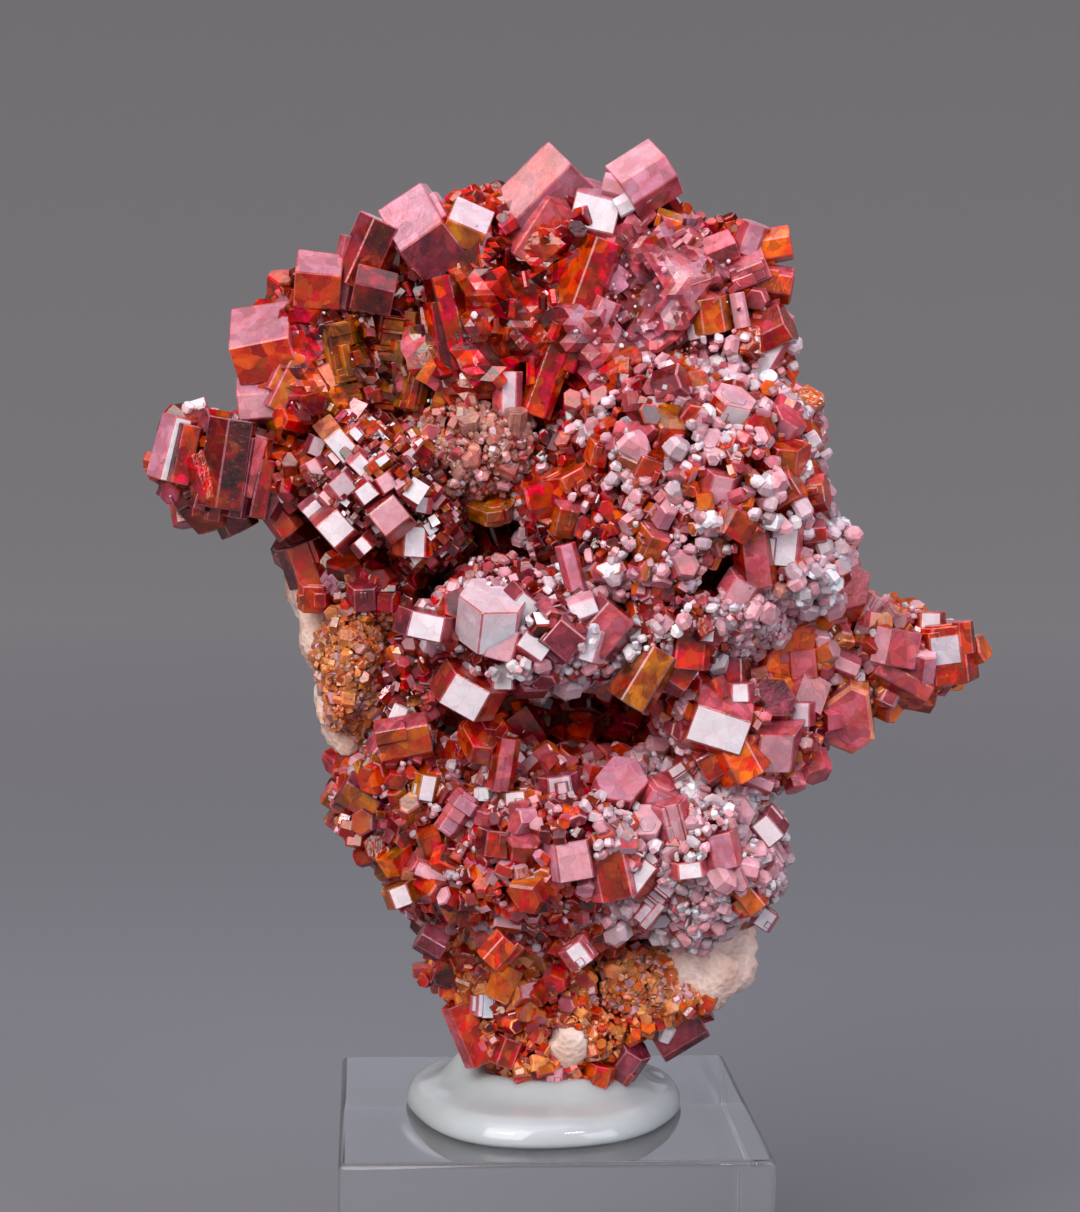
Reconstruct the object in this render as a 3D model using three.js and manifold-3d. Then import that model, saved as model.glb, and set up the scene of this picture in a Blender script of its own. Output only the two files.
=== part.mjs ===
// Vanadinite on matrix: red hexagonal crystals grown over a pale rock, held by a pad of putty
// on a clear acrylic block. Millimetres, +Z up, the crystal face looks along -Y, and the origin
// is the centre of the block's underside.
import * as THREE from "three";
import { mergeVertices } from "three/addons/utils/BufferGeometryUtils.js";
import { RoundedBoxGeometry } from "three/addons/geometries/RoundedBoxGeometry.js";
import Module from "manifold-3d";

// Block: a stock inch-and-a-quarter square, three quarters of an inch high.
const BLOCK_SIDE = 31.75;
const BLOCK_HEIGHT = 19.05;
const BLOCK_EDGE_RADIUS = 0.4;

// Pad of putty: radii across and deep, height at the rim's shoulder and at the middle.
const TACK_RADIUS_X = 10.6;
const TACK_RADIUS_Y = 12.2;
const TACK_HEIGHT = 2.4;
const TACK_CENTRE = [-0.3, -0.6];
const TACK_SEGMENTS = 30;

// Clearance kept between pieces that touch, and the coarseness of the rounded masses.
const GAP = 0.3;
const LUMP_DETAIL = 1;
const LUMP_ROUGHNESS = 0.12;
const LUMP_WAVES = 2.3;
const HEX_SIDES = 6;
const TO_RADIANS = Math.PI / 180;

const wasm = await Module();
wasm.setup();

// Rounded masses are [x, y, z, radius x, radius y, radius z].
const MATRIX_LUMPS = [
  [1, 4, 37, 11.5, 7, 13],
  [-1, 5, 55, 15, 7, 11],
  [-2, 5, 71, 15, 6.5, 11],
  [9, 4, 66, 9, 6.5, 10],
  [-15.4, 2, 57.2, 3.4, 4.5, 4.6],
  [-13.4, 2, 51.2, 3.2, 4.5, 5],
  [1, 1, 28, 5.5, 5.5, 6],
  [11, 0.5, 32.5, 5, 6.5, 4.5],
  [1.2, -4.4, 25.9, 2.3, 3.8, 2.2],
  [11.6, -1.6, 30.2, 3.4, 4.8, 3.2],
  [20, 2.5, 54.8, 6, 4, 3.6],
  [-20, 2.5, 69, 5, 4, 3.6],
];

// Crystal groups. Each has a centre, rounded masses and hexagonal prisms measured from it.
// Prisms are [x, y, z, radius, length, lean, face, spin]: lean turns the prism's axis from
// upright towards +X, face tips it towards the front, spin rolls it about itself, in degrees.
const GROUPS = [
  {
    name: "crest_crystals",
    colour: 0xa83a3c,
    at: [-5.2, -4, 80],
    lumps: [
      [3, 1.5, -2, 13, 5.5, 8.5],
      [3.5, 1.5, 4.5, 9, 4.5, 5],
      [-12, 2, -3, 6.5, 5, 7],
      [14, 1.5, 2, 7, 5, 6],
      [18, 1.5, -1, 4.5, 5, 5.5],
    ],
    crystals: [
      [10.4, -1, 11, 2.35, 4.4, 114, 60, 30],
      [3.6, 0, 9.1, 2.8, 6.6, 45, 5, 30],
      [7.7, -2, 8, 2.7, 2.9, 17, 5, 0],
      [-5.5, 0.5, 6.5, 3.3, 5, 165, 68, 30],
      [-8.7, 1, 4.6, 2.8, 4.5, 190, 65, 30],
      [-10.4, -0.5, 3, 1, 5, 8, 0, 0],
      [-8.6, -2.5, 2.2, 1.5, 3.4, 180, 72, 0],
      [-12.6, 0, 2.8, 2.3, 3.8, 92, 5, 15],
      [-16, 0, -2.8, 2.9, 5.2, 82, 0, 15],
      [-17.4, 0.5, -6.2, 1.8, 3.2, 85, 0, 20],
      [-1.5, -0.5, 7, 1.7, 3.4, 112, 5, 10],
      [14.2, 0, 4.6, 3, 8.2, 58, 0, 30],
      [10, -1, 2.6, 3, 9, 42, 0, 20],
      [17.2, -0.5, 5, 1.7, 4.6, 66, 0, 10],
      [9.5, -1.5, -1.8, 2.4, 9, 50, 0, 30],
      [14, -2, 0, 2, 7, 55, 0, 10],
      [21.2, -0.5, 5.3, 1.5, 3, 78, 10, 15],
      [21.3, -0.5, 2.5, 1.6, 3, 100, 10, 0],
      [21, -1, -1, 1.7, 3.2, 60, 20, 20],
      [21, -2.3, -2.8, 1, 3.9, 32, 0, 0],
      [16.5, -2.5, 0.2, 1.9, 2.6, -10, 5, 0],
      [4.7, 0, 0, 2.2, 12, 12, 0, 0],
      [7.2, -2.5, 2, 0.9, 3.6, 14, 0, 0],
      [1.5, -2.5, -6, 1.2, 3.8, 2, 0, 0],
      [-0.5, 0.5, 2.5, 2.2, 6, -5, 0, 30],
      [1.4, -0.8, 4.5, 1.6, 5, 5, 0, 15],
      [-10.5, -1.5, -4, 1.7, 7, -12, 5, 10],
      [-7.3, -1.5, -4, 2, 8, 5, 5, 0],
      [-12.8, -1, -3.5, 1.3, 5, -20, 0, 20],
      [-3, -1, -2, 1.5, 5, -15, 10, 0],
      [-14.6, -1, -5, 1.3, 4.5, 25, 0, 0],
      [-12, -1.5, 0.8, 1.2, 3, 10, 0, 0],
    ],
  },
  {
    name: "left_arm_crystals",
    colour: 0x9c3230,
    at: [-24.8, -4, 69.2],
    lumps: [
      [0.5, 1, -0.5, 4.8, 4, 3.6],
      [5, 1, -1, 4, 4, 3],
    ],
    crystals: [
      [-3.4, -0.5, 0.8, 1.9, 5.4, 13, 0, 5],
      [1.2, 0, -0.8, 3, 7.6, 10, 0, 10],
      [-1.4, 0.5, 0.5, 1.9, 5, 20, 0, 30],
      [-2.4, 0, -2.4, 1.3, 2.6, 60, 0, 0],
      [3.4, -1, -2.6, 1.4, 2.4, 30, 0, 0],
      [4.4, -0.5, -4.4, 1.3, 2.4, -40, 0, 0],
      [0.5, 0.5, -4, 1.8, 3, -30, 0, 0],
    ],
  },
  {
    name: "left_cluster_crystals",
    colour: 0xb8605a,
    at: [-13, -7, 67.5],
    lumps: [
      [0, 1, 0.5, 5, 5, 4.6],
      [3.5, 2, -3, 3.2, 4, 3.4],
    ],
    crystals: [
      [-2.9, -1.5, 3.1, 2.3, 1.6, 48, 0, 0],
      [0.5, -2.5, -1.8, 1.9, 2.8, 50, 0, 0],
      [-3.3, -2, -2.9, 2, 2.1, 50, 0, 0],
      [2.4, -1.5, -4, 1.5, 2.3, 3, 0, 0],
    ],
  },
  {
    name: "centre_druse",
    colour: 0xb98a7c,
    at: [-5.2, -5, 69.2],
    lumps: [
      [-0.5, 0.5, 1, 5.5, 4.5, 4],
      [3, 1, 0, 3, 3.5, 3.6],
    ],
    crystals: [
      [0.7, -1.5, -3.4, 2.2, 1.2, -8, 20, 0],
      [2, -2, 2.5, 0.9, 3, 5, 20, 0],
    ],
  },
  {
    name: "right_dome_crystals",
    colour: 0xbd7a76,
    at: [9.8, -9, 66.6],
    lumps: [
      [0, 2, 0.4, 10.2, 8, 9.4],
      [-8, 3, 0, 4.2, 5.5, 5],
      [3, 2.5, -4, 8.6, 7.5, 5.6],
    ],
    crystals: [
      [-2.2, -5, 5.3, 2, 3, 0, 55, 0],
      [2.2, -4, 6.6, 2.1, 3, 20, 30, 20],
      [1.3, -6, 1.5, 1.9, 2.6, 10, 20, 0],
      [6.5, -2.5, 3.4, 2, 2.4, 5, 20, 0],
      [6.4, -1.5, 5.5, 1.7, 2.4, 30, 30, 0],
      [8.8, -1.5, 0.5, 2, 3, 80, 40, 0],
      [6.2, -3, 1, 1.9, 3, 60, 20, 0],
      [4.2, -5, -3.8, 1.9, 4.6, -10, 10, 0],
      [6.1, -4, -2.8, 1.9, 3.4, 5, 10, 0],
      [-3.3, -6, -2.7, 2.3, 3, 20, 65, 0],
      [-9.2, -2.5, -0.9, 2.1, 3, 0, 60, 0],
      [-9.2, -2, 1.8, 2.2, 1.2, -25, 10, 0],
      [-9, -3, -5, 1, 4.6, -14, 0, 0],
      [-3.5, -6, 2.8, 1.5, 2.2, 20, 30, 0],
      [-7, -4, 3.8, 1.3, 2.2, 10, 30, 0],
    ],
  },
  {
    name: "centre_cluster_crystals",
    colour: 0xbd7876,
    at: [-1.8, -11, 57.3],
    lumps: [
      [0.5, 3, 0, 7.6, 7, 4.4],
      [10, 3.5, 0.5, 5.4, 6.5, 4.4],
    ],
    crystals: [
      [-4.4, -3, 1.4, 3, 5, -5, 25, 30],
      [-7.8, -2, 0.5, 2.4, 1.9, 10, 0, 0],
      [-1.6, -3.5, 1.8, 1.9, 3, 25, 20, 30],
      [-2.6, -4, -0.4, 1.9, 2.4, 15, 10, 0],
      [1.6, -3.5, -0.2, 1.9, 2.4, -50, 10, 0],
      [5, -3.5, 0.4, 2.1, 3.4, 40, 5, 0],
      [6.3, -3, -1.8, 1.3, 2.2, 60, 0, 0],
      [-2.3, -3, -3.1, 1.7, 2.2, 0, 0, 0],
      [-4.8, -1, -4.2, 2.6, 2.6, 25, 15, 0],
      [9.6, -2, -2.5, 1.5, 4, 125, 0, 0],
      [11, -2.5, -1.3, 1.6, 2.6, 5, 0, 0],
      [7.9, -2, -3.2, 1.7, 4.6, 30, 0, 0],
    ],
  },
  {
    name: "right_arm_crystals",
    colour: 0xa8423a,
    at: [23.3, -4, 54.4],
    lumps: [
      [-5, 1, 0, 6.4, 5, 4.8],
      [2, 1, 0.4, 5, 4.2, 3.6],
      [6, 1, 0, 2.5, 3, 2.2],
    ],
    crystals: [
      [-2.2, -1.5, 5, 2.6, 3.6, 10, 55, 30],
      [-1.7, 0, 7, 1.3, 2.4, 30, 30, 0],
      [-4.2, -3, 2.6, 1.5, 2, 10, 40, 0],
      [-6, -2.5, 1.2, 2.2, 4, 15, 0, 0],
      [2.2, -1.5, 1.2, 2, 2.8, 10, 0, 15],
      [2.8, -2, -1.2, 1.4, 4.6, 118, 0, 0],
      [6, -0.5, 1, 2.6, 2.2, -8, 0, 0],
      [6.2, 0.8, 0.6, 2.4, 4.4, -8, 0, 0],
      [4.9, 0, 2.9, 1.5, 1.6, 0, 0, 0],
      [3.8, -0.5, -2.6, 1.5, 3.6, 100, 0, 0],
      [-0.8, -1.5, -2.7, 1.4, 3.4, -30, 0, 0],
      [-5.1, -3.5, 0.1, 2, 2.2, -5, 0, 0],
    ],
  },
  {
    name: "right_shelf_crystals",
    colour: 0xc08280,
    at: [12.7, -9, 50.4],
    lumps: [
      [0, 2.5, 0, 4.6, 6, 4.2],
      [3.5, 3, -1, 4, 5, 4],
    ],
    crystals: [
      [-1.7, -3, 0.7, 2.9, 4, 22, 5, 30],
      [3.1, -1.5, 1.2, 1.8, 2.6, 0, 60, 0],
      [5.1, -0.5, 0.6, 1.3, 1.8, 0, 0, 0],
      [3.1, -2.5, -1.2, 2.4, 3.4, 0, 30, 0],
      [0.5, -2, -2.2, 2.2, 3.6, -30, 0, 0],
      [0, -2, 3.4, 1.9, 2.2, 0, -10, 0],
      [0.3, -3.2, 2.4, 1.4, 1.4, 0, 0, 0],
      [-1, -2.8, -2.6, 1.7, 3, 60, 0, 0],
      [1, -1, -4, 0.9, 4.6, 112, 0, 0],
    ],
  },
  {
    name: "lower_lobe_crystals",
    colour: 0xae5450,
    at: [1.3, -8, 41.8],
    lumps: [
      [-1, 2, -1, 12.6, 8, 7.4],
      [-12, 3, 2, 5, 5.5, 5.2],
      [9, 2, -1, 6.5, 7.5, 6.6],
    ],
    crystals: [
      [-12.5, -1, 7.2, 2.3, 4.4, 78, 0, 10],
      [-6.8, -3, 7.6, 2, 2.6, 10, 50, 0],
      [-5.3, -4, 5.8, 1.2, 4.4, 8, 0, 0],
      [-11, -4, 3.8, 1.3, 2.2, 10, 0, 10],
      [-15.8, -0.5, 2.6, 1.7, 3.4, -60, 0, 0],
      [-4.6, -5.5, 3.3, 1.5, 1.2, -5, 0, 0],
      [-8.6, -5, 2, 1.3, 3.6, 35, 0, 0],
      [-5.9, -6, 0.2, 1.8, 2.2, 8, 0, 0],
      [-3.9, -6, -0.2, 1.7, 3, 0, 40, 0],
      [-0.5, -6.5, -0.7, 2.7, 3.3, -10, 5, 0],
      [2.5, -5, -2, 2.4, 4.6, -12, 0, 0],
      [-9.9, -4.5, -2.6, 0.9, 4.2, 112, 0, 0],
      [-9.3, -4, -4.7, 2.1, 5, -30, 0, 0],
      [-12.8, -2, -4.2, 1.6, 1.8, -20, 0, 0],
      [-1.1, -5, 4.1, 1.8, 1.9, -10, 0, 0],
      [3.2, -6, 3.8, 2.6, 3.4, 0, 62, 0],
      [5.8, -6.5, 3, 1.8, 3, 20, 20, 0],
      [7.2, -6.5, 1.6, 1.7, 3.6, -15, 10, 0],
      [7.9, -5, 4.6, 2, 2.2, -35, 0, 0],
      [5.1, -7, 1.2, 1.6, 2.4, 0, 55, 0],
      [4.6, -7, -2.5, 1.7, 3.3, 38, 0, 0],
      [5.8, -6, -4.3, 1.6, 4.4, 42, 0, 0],
      [8.3, -6.5, -1.7, 1.9, 1.4, -8, 0, 0],
      [10.5, -5, -0.4, 2.2, 3.2, -12, 0, 0],
      [11.8, -5.5, -1.7, 1, 3.4, 100, 0, 0],
      [14.2, -2, 0.6, 1.8, 2.4, -42, 0, 0],
      [14.2, -0.5, -6.2, 1.3, 1.7, 35, 0, 0],
      [12.6, -2.5, -4.2, 1.9, 3.4, -40, 0, 0],
      [0.1, -5, -8, 1.4, 2, -35, 0, 0],
      [-5.5, -4, -8, 1.4, 2.6, 40, 0, 0],
      [-10.4, -1.5, -7.8, 1.3, 2.4, -60, 0, 0],
    ],
  },
  {
    name: "foot_druse",
    colour: 0x9a3c2a,
    at: [0.7, -4, 27.2],
    lumps: [
      [-0.5, 1, 0, 6.4, 5, 5.6],
      [6.5, 1, 2, 5.6, 5, 3.6],
      [-3, 1.5, 3, 6, 5, 4],
    ],
    crystals: [
      [-6.6, -1, -1, 1.6, 5, -22, 0, 0],
      [-1.3, -1, -4.8, 1.8, 2.6, -10, 0, 0],
      [9, 0, -1.1, 2, 4, 60, 0, 0],
      [5.3, -1, -3.4, 1.5, 2.6, 30, 20, 0],
      [-8.4, -0.5, 3.4, 1.3, 2.2, -70, 0, 0],
      [2.9, -2, -4.3, 1.3, 2, 10, 0, 0],
      [-4, -2.8, -2.2, 1.3, 2.2, 20, 0, 0],
    ],
  },
  {
    name: "left_edge_druse",
    colour: 0xb8683c,
    at: [-15.5, -2.5, 54.3],
    lumps: [
      [0.6, 0.5, 0, 3, 3.6, 6],
      [2, 0, 5, 3.5, 4, 3],
    ],
    crystals: [
      [-3, 0.5, 7, 1.8, 3.2, -20, 0, 0],
      [-2.3, -1, 4.8, 1.4, 2.2, 0, 20, 0],
      [1.3, -2, 5.2, 1.4, 2, 0, 30, 0],
    ],
  },
  {
    name: "back_crystals",
    colour: 0x9a3430,
    at: [1.5, 10.5, 63],
    lumps: [
      [0, 0, 0, 8, 3.4, 7],
      [-6, 0, 7, 6, 3, 5],
    ],
    crystals: [
      [0, 2.5, 0, 2.4, 3.4, 10, -60, 0],
      [-3.6, 2.2, 3.6, 1.9, 3, -20, -50, 0],
      [3.8, 2, 2.6, 1.9, 3, 40, -40, 0],
      [2.6, 2.2, -3.6, 1.6, 2.6, 140, -50, 0],
      [-3.4, 2.2, -2.8, 1.6, 2.6, -130, -50, 0],
      [-8.4, 1.8, 7, 1.8, 3, -60, -40, 0],
      [-5, 2, 9.4, 1.4, 2.4, -10, -40, 0],
      [5.8, 1.4, -1.2, 1.3, 2.2, 90, -40, 0],
    ],
  },
];

function solidFrom(geometry) {
  geometry.deleteAttribute("normal");
  geometry.deleteAttribute("uv");
  const welded = mergeVertices(geometry, 1e-4);
  return new wasm.Manifold(new wasm.Mesh({
    numProp: 3,
    vertProperties: new Float32Array(welded.attributes.position.array),
    triVerts: new Uint32Array(welded.index.array),
  }));
}

function unite(solids) {
  return solids.reduce((whole, solid) => whole.add(solid));
}

function largestBody(solid) {
  const bodies = solid.decompose();
  return bodies.reduce((best, body) => (body.volume() > best.volume() ? body : best));
}

// A rounded mass: a sphere stretched to three radii, its surface waved so that it is never smooth.
function lump([x, y, z, ...radii], origin, grow) {
  const sphere = new THREE.IcosahedronGeometry(1, LUMP_DETAIL).deleteAttribute("normal").deleteAttribute("uv");
  const geometry = mergeVertices(sphere, 1e-4);
  const position = geometry.attributes.position;
  const phase = x + z;
  for (let i = 0; i < position.count; i += 1) {
    const out = new THREE.Vector3().fromBufferAttribute(position, i);
    const wave = Math.sin(LUMP_WAVES * out.x * 2 + phase) * Math.cos(LUMP_WAVES * out.z * 2 - phase)
      + Math.sin(LUMP_WAVES * out.y * 3 + phase * 2) / 2;
    const scale = 1 + LUMP_ROUGHNESS * wave;
    position.setXYZ(
      i,
      origin[0] + x + out.x * (radii[0] * scale + grow),
      origin[1] + y + out.y * (radii[1] * scale + grow),
      origin[2] + z + out.z * (radii[2] * scale + grow),
    );
  }
  return solidFrom(geometry);
}

// A hexagonal prism. Spin 0 turns one of its side faces to the front.
function crystal([x, y, z, radius, length, lean, face, spin], origin, grow) {
  const [leanAngle, faceAngle, spinAngle] = [lean, face, spin].map((angle) => angle * TO_RADIANS);
  const axis = new THREE.Vector3(
    Math.sin(leanAngle) * Math.cos(faceAngle),
    -Math.sin(faceAngle),
    Math.cos(leanAngle) * Math.cos(faceAngle),
  );
  const front = new THREE.Vector3(
    -Math.sin(leanAngle) * Math.sin(faceAngle),
    -Math.cos(faceAngle),
    -Math.cos(leanAngle) * Math.sin(faceAngle),
  );
  const side = new THREE.Vector3().crossVectors(axis, front);
  const prism = new THREE.CylinderGeometry(radius + grow, radius + grow, length + 2 * grow, HEX_SIDES);
  prism.rotateY(Math.PI / HEX_SIDES + spinAngle);
  prism.applyMatrix4(new THREE.Matrix4().makeBasis(side, axis, front));
  prism.translate(origin[0] + x, origin[1] + y, origin[2] + z);
  return solidFrom(prism);
}

function matrixSolid(grow) {
  return unite(MATRIX_LUMPS.map((row) => lump(row, [0, 0, 0], grow)));
}

function groupSolid(group, grow) {
  const masses = group.lumps.map((row) => lump(row, group.at, grow));
  const prisms = group.crystals.map((row) => crystal(row, group.at, grow));
  return unite([...masses, ...prisms]);
}

// The pad: a flat-bottomed dome turned from its profile, then pressed a little out of round.
function tackSolid() {
  const underside = BLOCK_HEIGHT + GAP;
  const profile = [[0, 0], [0.94, 0], [1, 0.22], [0.98, 0.46], [0.86, 0.7], [0.6, 0.92], [0, 1.02]].map(([r, h]) => new THREE.Vector2(r, h));
  const geometry = new THREE.LatheGeometry(profile, TACK_SEGMENTS);
  const position = geometry.attributes.position;
  for (let i = 0; i < position.count; i += 1) {
    const angle = Math.atan2(position.getZ(i), position.getX(i));
    const swell = 1 + 0.025 * Math.sin(3 * angle + 1) + 0.015 * Math.sin(5 * angle);
    position.setXYZ(
      i,
      TACK_CENTRE[0] + position.getX(i) * TACK_RADIUS_X * swell,
      TACK_CENTRE[1] - position.getZ(i) * TACK_RADIUS_Y * swell,
      underside + position.getY(i) * TACK_HEIGHT,
    );
  }
  return solidFrom(geometry);
}

function addPiece(group, name, solid, material) {
  const mesh = solid.getMesh();
  const geometry = new THREE.BufferGeometry();
  geometry.setAttribute("position", new THREE.BufferAttribute(new Float32Array(mesh.vertProperties), 3));
  geometry.setIndex(new THREE.BufferAttribute(new Uint32Array(mesh.triVerts), 1));
  const flat = geometry.toNonIndexed();
  flat.computeVertexNormals();
  const piece = new THREE.Mesh(flat, new THREE.MeshStandardMaterial({ flatShading: true, ...material }));
  piece.name = name;
  group.add(piece);
}

const specimen = new THREE.Group();
specimen.name = "vanadinite_on_matrix";

const block = solidFrom(new RoundedBoxGeometry(BLOCK_SIDE, BLOCK_SIDE, BLOCK_HEIGHT, 2, BLOCK_EDGE_RADIUS)
  .translate(0, 0, BLOCK_HEIGHT / 2));
addPiece(specimen, "acrylic_block", block, { color: 0xe8ecf0, roughness: 0.05, transparent: true, opacity: 0.35 });

const matrixGrown = matrixSolid(GAP);
addPiece(specimen, "matrix_rock", largestBody(matrixSolid(0)), { color: 0xdcb8a4, roughness: 0.85 });

// Each crystal group is cut back from the rock and from the groups already placed.
let placed = matrixGrown;
for (const group of GROUPS) {
  const solid = largestBody(groupSolid(group, 0).subtract(placed));
  addPiece(specimen, group.name, solid, { color: group.colour, roughness: 0.25 });
  placed = placed.add(groupSolid(group, GAP));
}

const tack = largestBody(tackSolid().subtract(placed));
addPiece(specimen, "mineral_tack", tack, { color: 0xdfe3e6, roughness: 0.2 });

export default specimen;
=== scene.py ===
import math

import bmesh
import bpy
import numpy as np
from mathutils import Matrix, Vector, noise


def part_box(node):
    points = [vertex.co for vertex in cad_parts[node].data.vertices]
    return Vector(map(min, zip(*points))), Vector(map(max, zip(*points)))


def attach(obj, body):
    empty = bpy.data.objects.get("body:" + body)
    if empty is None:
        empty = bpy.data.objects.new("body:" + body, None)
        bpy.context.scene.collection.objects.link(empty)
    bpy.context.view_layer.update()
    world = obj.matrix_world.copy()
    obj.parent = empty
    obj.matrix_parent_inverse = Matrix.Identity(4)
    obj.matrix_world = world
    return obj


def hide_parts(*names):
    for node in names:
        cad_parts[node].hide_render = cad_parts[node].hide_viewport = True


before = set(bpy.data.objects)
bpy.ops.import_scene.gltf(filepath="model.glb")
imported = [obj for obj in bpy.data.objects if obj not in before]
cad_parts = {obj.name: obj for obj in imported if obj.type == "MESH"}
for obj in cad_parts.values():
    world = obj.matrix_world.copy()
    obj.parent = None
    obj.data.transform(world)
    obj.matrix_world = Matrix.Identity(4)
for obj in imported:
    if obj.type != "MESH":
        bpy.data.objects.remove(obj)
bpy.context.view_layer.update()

# The block: cast acrylic sawn to a stock inch-and-a-quarter square, three quarters of an inch
# high. Its faces are flame polished and its edges are only just broken, so each edge shows as
# a thin bright line. The putty and the specimen stand on it by their own weight.
MM = 0.001
BLOCK_EDGE = 0.45 * MM


def linear(hex_colour):
    """An sRGB hex colour as the linear values that the shaders take."""
    parts = [int(hex_colour[i:i + 2], 16) / 255 for i in (1, 3, 5)]
    return (*(c / 12.92 if c <= 0.04045 else ((c + 0.055) / 1.055) ** 2.4 for c in parts), 1.0)


def give(tree, socket, value):
    """Sets an input to a value, or links it where the value is another socket."""
    if isinstance(value, bpy.types.NodeSocket):
        tree.links.new(value, socket)
    else:
        socket.default_value = value


def add(tree, kind, inputs, **settings):
    """Adds a node, makes its settings, and gives each input its value."""
    made = tree.nodes.new("ShaderNode" + kind)
    for name, value in settings.items():
        setattr(made, name, value)
    for key, value in inputs.items():
        give(tree, made.inputs[key], value)
    return made


def feed(tree, shader, **inputs):
    """Gives a shader its inputs, whose names are written with underscores."""
    for name, value in inputs.items():
        give(tree, shader.inputs[name.replace("_", " ")], value)


def begin_finish(name):
    """A new material: its tree, its surface shader and the socket of places in the object."""
    finish = bpy.data.materials.new(name)
    finish.use_nodes = True
    tree = finish.node_tree
    tree.nodes.clear()
    shader = add(tree, "BsdfPrincipled", {})
    add(tree, "OutputMaterial", {"Surface": shader.outputs["BSDF"]})
    return finish, tree, shader, add(tree, "TexCoord", {}).outputs["Object"]


def clouds_of(tree, place, size, detail, **more):
    """A cloudy pattern, its largest features about a size in millimetres across."""
    return add(tree, "TexNoise", {"Vector": place, "Scale": 1 / (size * MM), "Detail": detail, **more})


def cells_of(tree, place, size, **settings):
    """A pattern of angular cells about a size in millimetres across."""
    return add(tree, "TexVoronoi", {"Vector": place, "Scale": 1 / (size * MM)}, **settings)


def span(tree, value, start, end, low=0.0, high=1.0):
    """A value that runs from low to high while another runs from start to end."""
    ends = {"From Min": start, "From Max": end, "To Min": low, "To Max": high}
    return add(tree, "MapRange", {"Value": value, **ends}).outputs["Result"]


def blend(tree, share, first, second, **settings):
    """Two colours mixed by a share, each a socket or an sRGB hex colour."""
    first, second = (linear(c) if isinstance(c, str) else c for c in (first, second))
    mixed = add(tree, "Mix", {"Factor": share, "A": first, "B": second}, data_type="RGBA", **settings)
    return mixed.outputs["Result"]


def relief(tree, height, strength, depth):
    """Shading as of a rough surface, its depth in millimetres."""
    made = add(tree, "Bump", {"Height": height, "Strength": strength, "Distance": depth * MM})
    return made.outputs["Normal"]


def piece_from(name, mesh, finish):
    """Puts a mesh in the scene as a piece of the object, riding on its one body."""
    piece = bpy.data.objects.new(name, mesh)
    bpy.context.scene.collection.objects.link(piece)
    mesh.materials.append(finish)
    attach(piece, "root")
    return piece


# Cast acrylic, flame polished: clear with the faintest blue-grey in its depth, and hairline
# handling scratches about 0.15 mm apart that only break up its reflections.
acrylic, tree, shader, place = begin_finish("cast_acrylic")
scratches = clouds_of(tree, place, 2.5, 4.0).outputs["Fac"]
feed(tree, shader, Base_Color=linear("#e9ebee"), Transmission_Weight=0.94, IOR=1.49,
     Roughness=span(tree, scratches, 0.0, 1.0, 0.02, 0.06), Normal=relief(tree, scratches, 0.03, 0.05))

low, high = (Vector(corner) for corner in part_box("acrylic_block"))
shell = bmesh.new()
bmesh.ops.create_cube(shell, size=1.0)
bmesh.ops.scale(shell, verts=shell.verts, vec=high - low)
bmesh.ops.translate(shell, verts=shell.verts, vec=(high + low) / 2)
cut = bmesh.ops.bevel(shell, geom=list(shell.edges), offset=BLOCK_EDGE, segments=3, profile=0.5,
                      affect="EDGES")
for face in cut["faces"]:
    face.smooth = True
block_mesh = bpy.data.meshes.new("display_block")
shell.to_mesh(block_mesh)
shell.free()
block = piece_from("display_block", block_mesh, acrylic)
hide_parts("acrylic_block")


# The pad of mineral putty: a soft translucent white lump pressed flat on the block, slumped to
# a rounded rim, and drawn up a little round the foot of the specimen where it was pushed in.
PAD_RADIUS = (10.6, 12.2)
PAD_CENTRE = (-0.3, -0.6)
PAD_HEIGHT = 1.2
PAD_RIM = 1.5
PAD_RIM_LIFT = 0.35
PAD_UNDERSIDE_LIFT = 0.04
PAD_UNDERSIDE_SHARE = 0.965
PAD_ROUND = 120
PAD_RINGS = 40
BLOCK_TOP = high.z / MM
FOOT_CENTRE = (0.4, -2.0)
FOOT_RADIUS = (6.2, 5.2)
CLING_HEIGHT = 1.1
CLING_WIDTH = 0.22
TONGUE_CENTRE = (-6.6, -0.5)
TONGUE_RADIUS = (1.5, 2.6)
TONGUE_HEIGHT = 1.7
SLUMP_HEIGHT = 0.22
SLUMPS_PER_MM = 0.23


def mesh_of(name, points, faces, smooth):
    """A mesh from points in millimetres."""
    made = bpy.data.meshes.new(name)
    made.from_pydata([Vector(p) * MM for p in points], [], faces)
    made.polygons.foreach_set("use_smooth", [smooth] * len(made.polygons))
    made.update()
    return made


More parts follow.
